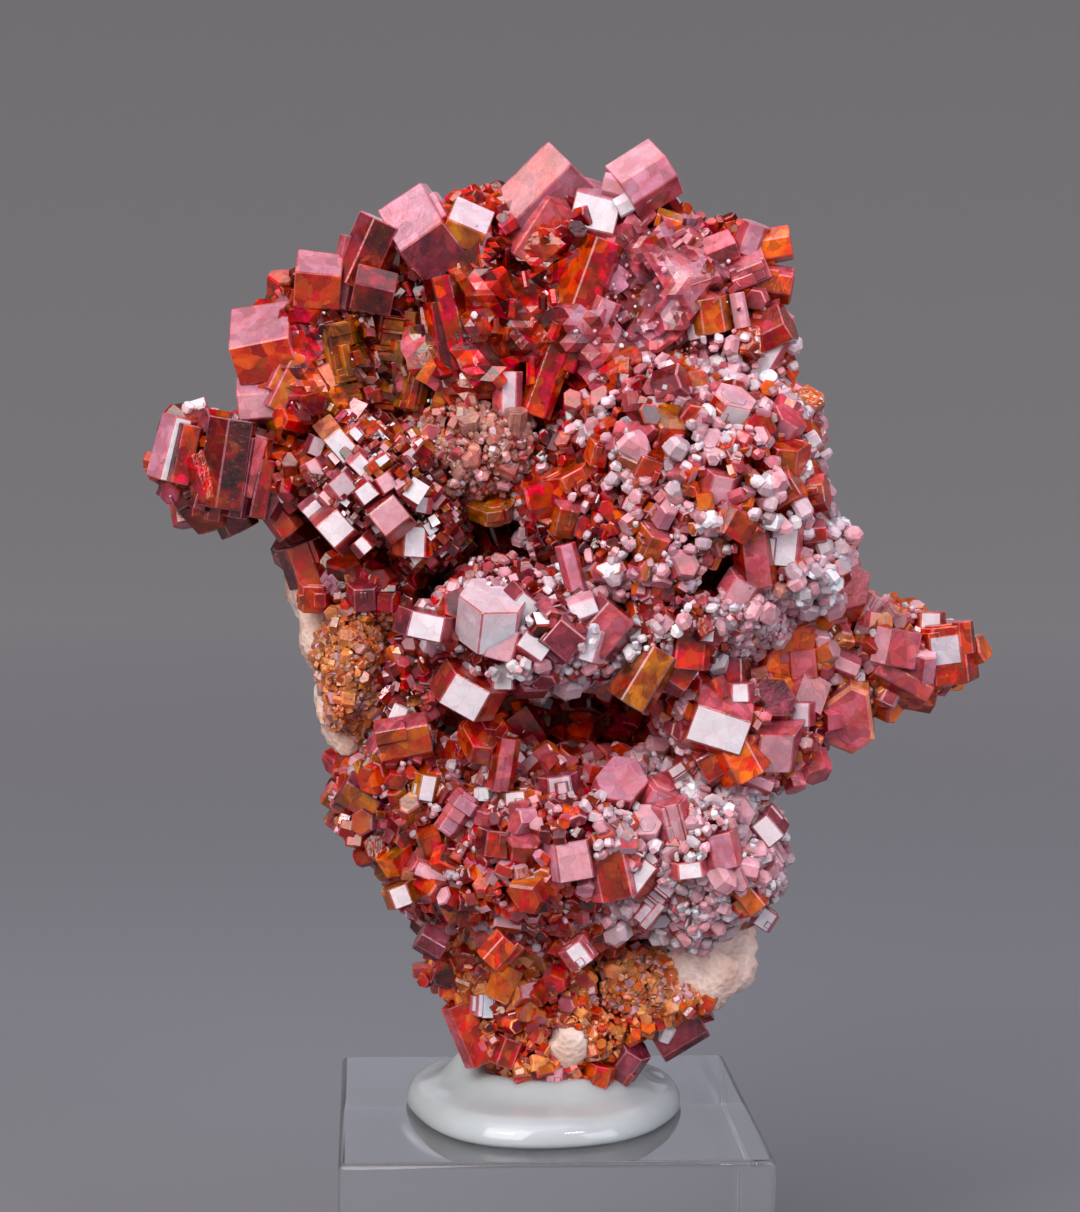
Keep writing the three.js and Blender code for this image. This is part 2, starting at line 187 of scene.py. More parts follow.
def pad_height(x, y, share):
    """How far the putty stands above the block at a point, share being 1 at the rim."""
    from_rim = min(1.0, (1 - share) * PAD_RADIUS[1] / PAD_RIM)
    dome = PAD_RIM * math.sqrt(1 - (1 - from_rim) ** 2) + PAD_HEIGHT * (1 - share ** 2)
    reach = math.hypot((x - FOOT_CENTRE[0]) / FOOT_RADIUS[0], (y - FOOT_CENTRE[1]) / FOOT_RADIUS[1])
    cling = CLING_HEIGHT * math.exp(-((reach - 1.0) / CLING_WIDTH) ** 2)
    tongue_x = (x - TONGUE_CENTRE[0]) / TONGUE_RADIUS[0]
    tongue_y = (y - TONGUE_CENTRE[1]) / TONGUE_RADIUS[1]
    tongue = TONGUE_HEIGHT * math.exp(-tongue_x ** 2 - tongue_y ** 2)
    slump = SLUMP_HEIGHT * noise.noise(Vector((x * SLUMPS_PER_MM, y * SLUMPS_PER_MM, 3.1)))
    return dome * (1 + 0.25 * slump) + (cling + tongue + slump) * (1 - share ** 4)


def ring_bands(rings, around, first=0):
    """Faces between rings of points, each ring following the last."""
    made = []
    for ring in range(rings):
        for step in range(around):
            start = first + ring * around
            a, b = start + step, start + (step + 1) % around
            made.append((a, a + around, b + around, b))
    return made


points = []
for ring in range(PAD_RINGS + 1):
    share = math.sin(ring / PAD_RINGS * math.pi / 2)
    for step in range(PAD_ROUND):
        turn = 2 * math.pi * step / PAD_ROUND
        swell = 1 + 0.025 * math.sin(3 * turn + 1) + 0.015 * math.sin(5 * turn)
        x = PAD_CENTRE[0] + PAD_RADIUS[0] * swell * share * math.cos(turn)
        y = PAD_CENTRE[1] + PAD_RADIUS[1] * swell * share * math.sin(turn)
        points.append((x, y, BLOCK_TOP + PAD_RIM_LIFT + pad_height(x, y, share)))
faces = ring_bands(PAD_RINGS, PAD_ROUND)
rim = PAD_RINGS * PAD_ROUND
under = len(points)
for step in range(PAD_ROUND):
    x, y, _ = points[rim + step]
    points.append((PAD_CENTRE[0] + (x - PAD_CENTRE[0]) * PAD_UNDERSIDE_SHARE,
                   PAD_CENTRE[1] + (y - PAD_CENTRE[1]) * PAD_UNDERSIDE_SHARE,
                   BLOCK_TOP + PAD_UNDERSIDE_LIFT))
for step in range(PAD_ROUND):
    ahead = (step + 1) % PAD_ROUND
    faces.append((rim + step, under + step, under + ahead, rim + ahead))
faces.append(tuple(under + step for step in reversed(range(PAD_ROUND))))

# Mineral putty, a soft rubbery gum: milky, with light carried a few millimetres inside it, and
# a wet-looking skin that shows faint thumbed waves.
gum, tree, shader, place = begin_finish("mineral_putty")
waves = clouds_of(tree, place, 3.5, 2.0).outputs["Fac"]
feed(tree, shader, Base_Color=blend(tree, waves, "#a3aaae", "#b4bbbf"), Roughness=0.55, IOR=1.45,
     Coat_Weight=1.0, Coat_Roughness=0.04, Subsurface_Weight=1.0, Subsurface_Radius=(1.0, 0.95, 0.9),
     Subsurface_Scale=4.0 * MM, Normal=relief(tree, waves, 0.12, 0.3))
pad = piece_from("putty_pad", mesh_of("putty_pad", points, faces, True), gum)
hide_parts("mineral_tack")


# The rock: pale pinkish barite-rich gangue, one knobbly piece. It shows bare down the left edge,
# at the lower right, low in front and on the back, and is stained red where crystals cover it.
# Its rounded masses are x, y, z and three radii.
ROCK_LUMPS = [
    (1, 4, 37, 11.5, 7, 13), (-1, 5, 55, 15, 7, 11), (-2, 5, 71, 15, 6.5, 11),
    (9, 4, 66, 9, 6.5, 10), (-16, 2, 57.4, 3.8, 4.5, 5), (-14.2, 2, 51.2, 3.6, 4.5, 5.2),
    (1, 1, 28, 5.5, 5.5, 6), (11, 0.5, 32.5, 5, 6.5, 4.5), (1.2, -4.4, 25.9, 2.3, 3.8, 2.2),
    (11.9, -2.4, 31.4, 3.9, 4.8, 4.2), (20, 2.5, 54.8, 6, 4, 3.6), (-20, 2.5, 69, 5, 4, 3.6),
]
# Places where the rock is bare: x, y, z and radius. All that lies behind BARE_BACK is bare too.
BARE_ROCK = [(-19, 1, 56, 4.2), (-16, 1, 50, 4), (12.2, -6, 31, 4.6), (1.2, -8, 25.6, 2.2),
             (14.5, -3, 31.5, 3.6)]
BARE_FADE = 1.6
BARE_BACK = 4.5
ROCK_GRAIN = 0.5
KNOBS_PER_MM = 0.28
KNOB_HEIGHT = 0.9
RIDGES_PER_MM = 1.1
RIDGE_HEIGHT = 0.5
ROCK_SINK = 0.15
LUMP_WAVES = 2.3
LUMP_ROUGHNESS = 0.12


def lump_points(row, origin, directions):
    """Where a rounded, slightly waved mass has its surface, along each direction."""
    centre = np.array(row[:3], float) + origin
    radii = np.array(row[3:], float)
    phase = row[0] + row[2]
    x, y, z = (LUMP_WAVES * directions).T
    wave = np.sin(2 * x + phase) * np.cos(2 * z - phase) + np.sin(3 * y + phase * 2) / 2
    return centre + directions * radii * (1 + LUMP_ROUGHNESS * wave[:, None])


def ball(level):
    """The points and faces of a sphere made of even triangles."""
    form = bmesh.new()
    bmesh.ops.create_icosphere(form, subdivisions=level, radius=1.0)
    directions = np.array([v.co for v in form.verts])
    faces = [tuple(v.index for v in face.verts) for face in form.faces]
    form.free()
    return directions, faces


directions, ball_faces = ball(4)
points, faces = [], []
for row in ROCK_LUMPS:
    faces += [tuple(i + len(points) for i in face) for face in ball_faces]
    points += [tuple(p) for p in lump_points(row, np.zeros(3), directions)]
rock = bpy.data.objects.new("pale_rock", mesh_of("pale_rock", points, faces, True))
bpy.context.scene.collection.objects.link(rock)
weld = rock.modifiers.new("weld", "REMESH")
weld.mode = "VOXEL"
weld.voxel_size = ROCK_GRAIN * MM
welded = bpy.data.meshes.new_from_object(rock.evaluated_get(bpy.context.evaluated_depsgraph_get()))
rock.modifiers.clear()
rock.data = welded
spots = np.empty(len(welded.vertices) * 3)
normals = np.empty(len(welded.vertices) * 3)
welded.vertices.foreach_get("co", spots)
welded.vertices.foreach_get("normal", normals)
spots = spots.reshape(-1, 3) / MM
normals = normals.reshape(-1, 3)
lift = np.array([noise.fractal(Vector(p) * KNOBS_PER_MM, 1.0, 2.1, 5) * KNOB_HEIGHT
                 + abs(noise.noise(Vector(p) * RIDGES_PER_MM)) * RIDGE_HEIGHT for p in spots])
shaped = spots + normals * (lift - ROCK_SINK)[:, None]
welded.vertices.foreach_set("co", (shaped * MM).ravel())
bare = np.zeros(len(spots))
for x, y, z, radius in BARE_ROCK:
    distance = np.linalg.norm(spots - (x, y, z), axis=1)
    bare = np.maximum(bare, np.clip(BARE_FADE - distance / radius, 0, 1))
bare = np.maximum(bare, np.clip((spots[:, 1] - BARE_BACK) / 3, 0, 1))
layer = welded.attributes.new("bare", "FLOAT", "POINT")
layer.data.foreach_set("value", bare.astype(np.float32))
welded.polygons.foreach_set("use_smooth", [True] * len(welded.polygons))
welded.update()

# Massive barite gangue, broken and weathered: dull, sugary grains about 0.4 mm across, cream to
# pink, with rusty staining that thickens to dark red beneath the crystals.
gangue, tree, shader, place = begin_finish("barite_gangue")
shown = add(tree, "Attribute", {}, attribute_name="bare").outputs["Fac"]
clouds = clouds_of(tree, place, 4, 5.0).outputs["Fac"]
grains = cells_of(tree, place, 0.45).outputs["Distance"]
cream = add(tree, "ValToRGB", {"Fac": clouds})
for stop, colour in ((0.30, "#cc8f78"), (0.43, "#dab0a0"), (0.58, "#e4c9be"), (0.75, "#ead9d2")):
    mark = cream.color_ramp.elements.new(stop)
    mark.color = linear(colour)
cream.color_ramp.elements.remove(cream.color_ramp.elements[0])
cream.color_ramp.elements.remove(cream.color_ramp.elements[-1])
speck = blend(tree, 0.25, cream.outputs["Color"], grains, blend_type="SOFT_LIGHT")
edge = add(tree, "Math", {0: shown, 1: clouds}, operation="ADD").outputs["Value"]
stain = blend(tree, grains, "#3a0a0c", "#7a2418")
feed(tree, shader, Base_Color=blend(tree, span(tree, edge, 0.75, 1.15), stain, speck), Roughness=0.72,
     IOR=1.6, Subsurface_Weight=0.15, Subsurface_Radius=(1.0, 0.6, 0.5), Subsurface_Scale=1.0 * MM,
     Normal=relief(tree, grains, 0.6, 0.2))
rock.data.materials.append(gangue)
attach(rock, "root")
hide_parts("matrix_rock")


# Vanadinite: lead chloro-vanadate, grown as short hexagonal prisms with an oily, diamond-like
# lustre. The body is deep red to orange; a lilac-white painted sheen, standing for the lamps'
# reflection, lies unevenly on some faces, so the body colour shows through it in blotches about
# a millimetre across.
vanadinite, tree, shader, place = begin_finish("vanadinite")
tint = add(tree, "Attribute", {}, attribute_name="tint")
heart = add(tree, "Attribute", {}, attribute_name="heart").outputs["Color"]
# The tint's alpha is how much painted sheen lies on a face: it hides the body colour and roughens the face.
painted_sheen = tint.outputs["Alpha"]
depths = clouds_of(tree, place, 1.6, 5.0, Roughness=0.62, Distortion=0.6)
veils = clouds_of(tree, place, 0.3, 3.0).outputs["Fac"]
blotch = span(tree, depths.outputs["Fac"], 0.38, 0.58)
thin = span(tree, painted_sheen, 0.0, 1.0, 0.85, 0.20)
through = add(tree, "Math", {0: blotch, 1: thin}, operation="MULTIPLY").outputs["Value"]
bent = add(tree, "VectorMath", {0: depths.outputs["Color"], 1: (0.9 * MM,) * 3, 2: place},
           operation="MULTIPLY_ADD").outputs["Vector"]
# Orange patches in the body are a painted glow, as of light carried through the crystal.
painted_glow = clouds_of(tree, place, 2.6, 2.0).outputs["Fac"]
inner = blend(tree, span(tree, painted_glow, 0.48, 0.66, 0.0, 0.65), heart, "#c4300a")
body = blend(tree, through, tint.outputs["Color"], inner)
# Inside lie flat cracks that part the crystal into shards, each a little lighter or darker.
shard = add(tree, "SeparateColor", {"Color": cells_of(tree, bent, 0.9).outputs["Color"]})
cracks = cells_of(tree, bent, 0.9, feature="DISTANCE_TO_EDGE").outputs["Distance"]
flashes = add(tree, "HueSaturation", {
    "Hue": span(tree, shard.outputs["Green"], 0.0, 1.0, 0.488, 0.516), "Saturation": 1.06,
    "Value": span(tree, shard.outputs["Red"], 0.0, 1.0, 0.45, 1.5),
    "Fac": span(tree, painted_sheen, 0.0, 1.0, 0.9, 0.15), "Color": body})
cracked = blend(tree, span(tree, cracks, 0.0, 0.035, 0.35, 0.0), flashes.outputs["Color"], heart)
veiled = blend(tree, span(tree, veils, 0.60, 0.85, 0.0, 0.12), cracked, "#e0a8a4")
grain = add(tree, "Math", {0: depths.outputs["Fac"], 1: veils}, operation="ADD").outputs["Value"]
feed(tree, shader, Base_Color=veiled, Roughness=span(tree, painted_sheen, 0.0, 1.0, 0.10, 0.34), IOR=2.1,
     Specular_IOR_Level=0.22, Subsurface_Weight=0.38, Subsurface_Radius=(1.0, 0.20, 0.10),
     Subsurface_Scale=0.8 * MM, Normal=relief(tree, grain, 0.30, 0.09))

# What a face can look like: its colour, how much painted sheen (0 to 1) lies on it, and the colour of
# the body beneath. The pale pink, lilac and white looks are painted sheen and reflection of the
# lamps on the faces.
TINTS = {
    "wine": ("#62070d", 0.0, "#300205"), "blood": ("#c0060a", 0.0, "#6a0204"),
    "brick": ("#a62c1e", 0.1, "#660807"), "rust": ("#c4380e", 0.05, "#8c1404"),
    "flame": ("#e86008", 0.0, "#b82802"), "amber": ("#a8621e", 0.1, "#702204"),
    "plum": ("#863846", 0.25, "#440716"), "rose": ("#bc606e", 0.4, "#8c141a"),
    "lilac": ("#be869c", 0.65, "#9e3a4a"), "blush": ("#d6a2ae", 0.8, "#b05060"),
    # The palest look is a painted glare, the white reflection of a lamp on a face.
    "pearl": ("#cab6c0", 0.9, "#a06878"), "frost": ("#ded6dd", 1.0, "#c09aa6"),
    "druse": ("#b88478", 0.5, "#7e3428"), "peach": ("#d2703c", 0.3, "#a43408"),
    "ember": ("#b0501a", 0.1, "#7a2004"), "apricot": ("#e89464", 0.4, "#c05a24"),
    "olive": ("#86481a", 0.0, "#481804"), "mauve": ("#a86c7c", 0.55, "#8c2c3c"),
    "scarlet": ("#e0181a", 0.0, "#b4080a"),
}
DEEP_REDS = "blood 4, scarlet 2, rust 2, wine 3, brick 1"
# Where a named face looks: to the front, up, left, right or down. C names the two ends.
VIEWPOINTS = {"F": (0, -1, 0.1), "T": (0, -0.45, 0.9), "L": (-0.75, -0.45, 0.5), "R": (0.75, -0.5, 0.1),
              "B": (0, -0.5, -0.85)}
SIDES = 6
EDGE, CAP, HEEL = 6, 7, 8
KINDS = 9
rng = np.random.default_rng(4)


def look_of(key):
    """A look as eight numbers: face colour and painted sheen, then body colour and one."""
    colour, painted_sheen, body_colour = TINTS[key]
    return np.array([*linear(colour)[:3], painted_sheen, *linear(body_colour)])


def prism_pattern(form):
    """A six-sided prism, made of rings: corner index, edge offset, height, shrink, faces, kinds.

    A cut prism has its upright and end edges bevelled, a plain one only the edge of its free
    end, and a bead is barrel-shaped, worn round at both ends.
    """
    turns = [math.radians(30 + 60 * k) for k in range(SIDES)]
    corners = [np.array((math.cos(t), math.sin(t))) for t in turns]
    rings = {"cut": [(-0.5, 0, 1, 1), (-0.5, 1, 0, 1), (0.5, -1, 0, 1), (0.5, 0, 1, 1)],
             "plain": [(-0.5, 0, 0, 1), (0.5, -1, 0, 1), (0.5, 0, 1, 1)],
             "bead": [(-0.5, 0, 0, 0.62), (-0.3, 0, 0, 1), (0.28, 0, 0, 1), (0.5, 0, 0, 0.6)]}[form]
    which, by_edge, height, shrink = [], [], [], []
    for level, rise, inset, narrow in rings:
        for k, corner in enumerate(corners):
            shifts = [np.zeros(2)]
            if form == "cut":
                shifts = [corners[k - 1] - corner, corners[(k + 1) % SIDES] - corner]
            for shift in shifts:
                which.append(k)
                by_edge.append(shift - corner * inset)
                height.append((level, rise))
                shrink.append(narrow)
    across = len(which) // len(rings)
    faces, kinds = [], []
    for ring in range(len(rings) - 1):
        upright = rings[ring][2] == 0 and rings[ring + 1][2] == 0
        for k in range(across):
            a, b = ring * across + k, ring * across + (k + 1) % across
            faces.append((a, b, b + across, a + across))
            flat = upright and (form != "cut" or k % 2 == 1)
            kinds.append(((k // 2 if form == "cut" else k) + 1) % SIDES if flat else EDGE)
    top = (len(rings) - 1) * across
    faces += [tuple(top + k for k in range(across)), tuple(reversed(range(across)))]
    kinds += [CAP, HEEL]
    return {"which": np.array(which), "by_edge": np.array(by_edge), "height": np.array(height),
            "shrink": np.array(shrink), "faces": faces, "kinds": np.array(kinds)}


PATTERNS = {form: prism_pattern(form) for form in ("cut", "plain", "bead")}


def prism_arrays(pattern, crystals):
    """Points, corner lists, face sizes and corner looks of many crystals of one pattern.

    Each crystal has its own six side distances, so that its outline is uneven, as real prisms
    are, while every angle stays 120 degrees.
    """
    centre, axis, front = crystals["centre"], crystals["axis"], crystals["front"]
    side = np.cross(axis, front)
    radius, length, edge = (crystals[k][:, None] for k in ("radius", "length", "edge"))
    away = radius * math.cos(math.pi / 6) * crystals["sides"]
    turn = np.radians(60 * np.arange(SIDES))
    ahead_of, turn_ahead = np.roll(away, -1, axis=1), np.roll(turn, -1)
    corner_u = (away * np.sin(turn_ahead) - ahead_of * np.sin(turn)) / math.sin(math.pi / 3)
    corner_v = (ahead_of * np.cos(turn) - away * np.cos(turn_ahead)) / math.sin(math.pi / 3)
    level, rise = pattern["height"].T
    taper = pattern["shrink"] * np.where(level > 0, crystals["taper"][:, None], 1.0)
    u = corner_u[:, pattern["which"]] * taper + edge * pattern["by_edge"][:, 0]
    v = corner_v[:, pattern["which"]] * taper + edge * pattern["by_edge"][:, 1]
    w = length * level + edge * rise
    points = (centre[:, None] + u[..., None] * front[:, None] + v[..., None] * side[:, None]
              + w[..., None] * axis[:, None])
    corner_of = np.concatenate([np.array(f) for f in pattern["faces"]])
    sizes = np.array([len(f) for f in pattern["faces"]])
    count = len(centre)
    corners = (corner_of[None] + (np.arange(count) * len(pattern["which"]))[:, None]).ravel()
    looks = crystals["look"][:, np.repeat(pattern["kinds"], sizes)].reshape(-1, 8)
    return points.reshape(-1, 3), corners, np.tile(sizes, count), looks


def colour_corners(mesh, looks):
    """Gives each face corner its colour, painted sheen and body colour."""
    for name, part in (("tint", looks[:, :4]), ("heart", looks[:, 4:])):
        layer = mesh.attributes.new(name, "FLOAT_COLOR", "CORNER")
        layer.data.foreach_set("color", part.astype(np.float32).ravel())


def join_crystals(name, sets):
    """One mesh of every crystal in the sets, each the name of a pattern and its crystals."""
    found = []
    start = 0
    for form, crystals in sets:
        if len(crystals["centre"]):
            points, corners, sizes, looks = prism_arrays(PATTERNS[form], crystals)
            found.append((points, corners + start, sizes, looks))
            start += len(points)
    points, corners, sizes, looks = (np.concatenate(part) for part in zip(*found))
    made = bpy.data.meshes.new(name)
    made.vertices.add(len(points))
    made.vertices.foreach_set("co", (points * MM).ravel())
    made.loops.add(len(corners))
    made.loops.foreach_set("vertex_index", corners.astype(np.int32))
    made.polygons.add(len(sizes))
    made.polygons.foreach_set("loop_start", (np.cumsum(sizes) - sizes).astype(np.int32))
    made.update(calc_edges=True)
    made.polygons.foreach_set("use_smooth", [False] * len(sizes))
    colour_corners(made, looks)
    made.validate()
    return made


def frame_of(lean, face, spin):
    """Axis and front of a prism from its lean, its tip to the front and its roll, in degrees."""
    lean, face, spin = (math.radians(a) for a in (lean, face, spin))
    axis = np.array((math.sin(lean) * math.cos(face), -math.sin(face), math.cos(lean) * math.cos(face)))
    ahead = np.array((-math.sin(lean) * math.sin(face), -math.cos(face), -math.cos(lean) * math.sin(face)))
    side = np.cross(axis, ahead)
    return axis, ahead * math.cos(spin) + side * math.sin(spin)


def face_normals(axis, front):
    """The six directions that a prism's side faces look in."""
    side = np.cross(axis, front)
    return [front * math.cos(t) + side * math.sin(t) for t in (math.radians(60 * k) for k in range(SIDES))]


def shade(looks, factor):
    """The same looks, lighter or darker."""
    made = np.array(looks)
    made[..., :3] *= factor
    made[..., 4:7] *= factor
    return made


FACE_SHADES = (0.86, 1.12)
# Painted highlight: how much blush is painted on the bevelled edges.
PAINTED_EDGE_HIGHLIGHT = 0.3
# Painted sheen: from what upward tilt and how strongly faces get lilac painted on, as of the light from
# above.
PAINTED_SHEEN_FROM = 0.25
PAINTED_TOP_SHEEN = 0.45


def paint(words, axis, front):
    """The looks of a crystal's faces: its body, then any face named by where it looks."""
    words = words.split()
    looks = np.tile(look_of(words[0]), (KINDS, 1))
    looks = shade(looks, rng.uniform(*FACE_SHADES, (KINDS, 1)))
    outward = face_normals(axis, front)
    # Faces turned upward get a painted lilac sheen, as of the light from above.
    for k, out in enumerate(outward):
        share = max(0.0, out[2] - PAINTED_SHEEN_FROM) * PAINTED_TOP_SHEEN
        looks[k] = looks[k] * (1 - share) + look_of("lilac") * share
    # The bevelled edges get a painted blush highlight, except on sunk crystals.
    if "sunk" not in words:
        looks[EDGE] = looks[EDGE] * (1 - PAINTED_EDGE_HIGHLIGHT) + look_of("blush") * PAINTED_EDGE_HIGHLIGHT
    # A face named in the looks takes that look; the pale ones so named are painted reflections of the lamps.
    for word in words[1:]:
        if ":" not in word:
            continue
        where_to, key = word.split(":")
        if where_to == "C":
            looks[CAP] = look_of(key)
            looks[HEEL] = look_of(key)
        else:
            best = max(range(SIDES), key=lambda k: float(outward[k] @ np.array(VIEWPOINTS[where_to])))
            looks[best] = look_of(key)
    return looks


# How deep a large crystal sits, 0 with its middle at the skin of the mass and 1 wholly under it:
# most crystals, and those whose looks say sunk or proud. Past MASS_RIM a mass holds none.
SET_IN = 0.3
SUNK_IN = 0.92
PROUD_OF = -0.1
MASS_RIM = 0.8


def front_of(lumps, x, z):
    """How far forward the masses reach at a place seen from the front."""
    found = []
    for middle_x, middle_y, middle_z, wide, deep, tall in lumps:
        share = ((x - middle_x) / wide) ** 2 + ((z - middle_z) / tall) ** 2
        if share < MASS_RIM:
            found.append(middle_y - deep * math.sqrt(1 - share))
    return min(found)


def seated(rows, lumps):
    """The large crystals of a table, each moved to sit in the front of the masses.

    A row is x and z from the group's centre, radius, length and looks. Then come the turns
    lean, face and spin, 0 where left out, and y, for a crystal that no mass lies behind.
    """
    made = []
    for x, z, radius, length, words, *turns in rows:
        lean, face, spin, y = (*turns, *(0, 0, 0, None)[len(turns):])
        if y is None:
            axis, _ = frame_of(lean, face, spin)
            reach = 0.93 * radius * math.sqrt(1 - axis[1] ** 2) + length / 2 * abs(axis[1])
            depth = SUNK_IN if "sunk" in words else PROUD_OF if "proud" in words else SET_IN
            y = front_of(lumps, x, z) + depth * reach
        made.append((x, y, z, radius, length, lean, face, spin, words))
    return made


# How a large crystal's outline, turn in degrees and bevel in millimetres vary, and what it
# carries unless it stands alone: a parallel twin inside its outline, and buds half set in its
# sides, as shares of its radius and length. A stack is cut into plates PLATE millimetres thick.
OUTLINE_SPREAD = 0.08
OUTLINE_LIMIT = 0.15
TURN_SPREAD = 1.5
WIDEST_EDGE = 0.09
PLATE = 0.55
PLATE_SLIP = 0.06
PLATE_WIDTHS = (0.82, 1.02)
PLATE_SHADES = (0.75, 1.12)
TWIN_WIDTHS = (0.3, 0.8)
TWIN_PLACES = (0.2, 0.95)
TWIN_EXTRA = (0.05, 0.22)
TWIN_SHADES = (0.88, 1.1)
BUD_WIDTHS = (0.25, 0.5)
BUD_DEPTH = 0.55
BUD_PLACES = (0.9, 1.08)
BUD_LENGTHS = (0.3, 0.7)
BUD_SHADES = (0.8, 1.05)


def intergrown(rows, origin, scale=1.0):
    """Listed crystals, each with the parallel plates and side growths it carries."""
    found = {k: [] for k in ("centre", "axis", "front", "radius", "length", "edge", "sides", "taper", "look")}

    def keep(centre, axis, front, radius, length, edge, looks):
        sides = 1 + rng.normal(0, OUTLINE_SPREAD, SIDES).clip(-OUTLINE_LIMIT, OUTLINE_LIMIT)
        taper = rng.uniform(0.93, 1.0)
        for key, value in zip(found, (centre, axis, front, radius, length, edge, sides, taper, looks)):
            found[key].append(value)

    for x, y, z, radius, length, lean, face, spin, words in rows:
        lean += rng.normal(0, TURN_SPREAD)
        axis, front = frame_of(lean, face, spin + rng.normal(0, TURN_SPREAD))
        side = np.cross(axis, front)
        centre = np.array((x, y, z)) + origin
        looks = paint(words, axis, front)
        radius, length = radius * scale, length * scale
        edge = min(WIDEST_EDGE, 0.05 * radius + 0.01)
        if "stack" in words:
            slabs = max(3, int(length / PLATE))
            cuts = np.sort(np.append(rng.uniform(-0.5, 0.5, slabs - 1), (-0.5, 0.5)))
            for start, end in zip(cuts[:-1], cuts[1:]):
                shift = rng.normal(0, PLATE_SLIP * radius, 2)
                keep(centre + axis * (start + end) / 2 * length + front * shift[0] + side * shift[1],
                     axis, front, radius * rng.uniform(*PLATE_WIDTHS), max(0.1, (end - start) * length),
                     edge * 0.6, shade(looks, rng.uniform(*PLATE_SHADES)))
        else:
            keep(centre, axis, front, radius, length, edge, looks)
        if "alone" in words:
            continue
        for _ in range(int(rng.integers(0, 2))):
            small = radius * rng.uniform(*TWIN_WIDTHS)
            turn, out = rng.uniform(0, 2 * math.pi), (radius - small) * rng.uniform(*TWIN_PLACES)
            keep(centre + (front * math.cos(turn) + side * math.sin(turn)) * out, axis, front, small,
                 length + radius * rng.uniform(*TWIN_EXTRA), edge * 0.7,
                 shade(looks, rng.uniform(*TWIN_SHADES)))
        for _ in range(int(rng.integers(1, 4))):
            small = radius * rng.uniform(*BUD_WIDTHS)
            turn = rng.uniform(0, 2 * math.pi)
            reach = (radius * 0.9 - small * BUD_DEPTH) * rng.uniform(*BUD_PLACES)
            keep(centre + (front * math.cos(turn) + side * math.sin(turn)) * reach
                 + axis * length * rng.uniform(-0.3, 0.3), axis, front, small,
                 length * rng.uniform(*BUD_LENGTHS), edge * 0.7, shade(looks, rng.uniform(*BUD_SHADES)))
    return {key: np.array(value, float) for key, value in found.items()}


def inside(points, rows, origin, tight):
    """Which points lie inside any of the masses, shrunk to a share of their size."""
    hit = np.zeros(len(points), bool)
    for row in rows:
        away = (points - (np.array(row[:3], float) + origin)) / np.array(row[3:], float)
        hit |= (away ** 2).sum(axis=1) < tight ** 2
    return hit


# How far before a large crystal, in millimetres, a small one is looked for that would hide it,
# and how much of the large one's length and radius counts.
BEFORE = (0, 0.6, 1.2)
BURIED_LENGTH = 0.44
BURIED_RADIUS = 0.72


def buried(points, rows, origin, late_share):
    """Which points lie in a large crystal, or before it where they would hide its faces.

    A share of those before it stays, as the late crystals seated on its faces.
    """
    late = rng.uniform(0, 1, len(points)) < late_share
    hit = np.zeros(len(points), bool)
    for x, y, z, radius, length, lean, face, spin, _ in rows:
        axis, _ = frame_of(lean, face, spin)
        for back in BEFORE:
            away = points + (0, back, 0) - (np.array((x, y, z)) + origin)
            along = away @ axis
            across = np.linalg.norm(away - along[:, None] * axis, axis=1)
            here = (np.abs(along) < length * BURIED_LENGTH) & (across < radius * BURIED_RADIUS)
            hit |= here & ~late if back else here
    return hit


def even_directions(count):
    """Directions spread evenly over a sphere."""
    k = np.arange(count) + 0.5
    height = 1 - 2 * k / count
    turn = math.pi * (1 + 5 ** 0.5) * k
    ring = np.sqrt(1 - height ** 2)
    return np.stack((ring * np.cos(turn), ring * np.sin(turn), height), axis=1)


def unit(vectors):
    """The same directions, each of length one."""
    return vectors / np.linalg.norm(vectors, axis=1)[:, None]


# A covering: how far apart its crystals may stand and stray, over the finest size, how far it
# lies under the skin of the mass, how sizes, lengths, tips in degrees and shades vary from
# crystal to crystal, and how much of a mass hides them. Deeper crystals are painted darker, a
# painted shade of the hollows they sit in.
SPACING = 1.3
STRAY = 0.4
SKIN = 0.35
CLUMPS_PER_MM = 0.55
SIZE_SPREAD = 0.3
LARGE_SHARE = 0.07
LARGE_BY = 1.6
LENGTHS = (0.7, 1.5)
TIP_SPREAD = 20
FACE_SPREAD = 12
PAINTED_GLINT_FACING = (-0.05, -1, 0.12)
RISES = (-0.25, 0.4)
SIDE_SHADES = (0.66, 1.22)
PAINTED_SHADE_DEEPEST = 0.72
PAINTED_SHADE_LIFT = 0.7
SMALL_EDGE = 0.12
HIDDEN_BY_OWN = 0.97
HIDDEN_BY_OTHERS = 0.96
LATE_SHARE = 0.15
LATE_BEAD_SHARE = 0.4


def shares_of(text):
    """The shares named in a text such as "rose 3, blush 1"."""
    return {key: float(share) for key, share in (pair.split() for pair in text.split(","))}


def prisms(size, tints, long=1.3, painted_glint=None, **more):
    """A zone of a covering: crystal size in millimetres, shares of looks, length over radius.

    It may also say where it lies, how much of the surface is filled, how far axes tip from
    upright on the surface or which way they all lean, the share of front-facing crystals whose
    front face gets a painted glint, how far the crystals gather in clumps, and how far they stand out.
    """
    lit = {"painted_glint": shares_of(painted_glint)} if painted_glint else {}
    return {"size": size, "long": long, "tints": shares_of(tints), **lit, **more}


def beads(size, tints, long=1.2, lift=0.6, mixed=0, **more):
    """A zone of round-ended grains, each of one look, that stand out from the rest."""
    return prisms(size, tints, long, lift=lift, mixed=mixed, **more)


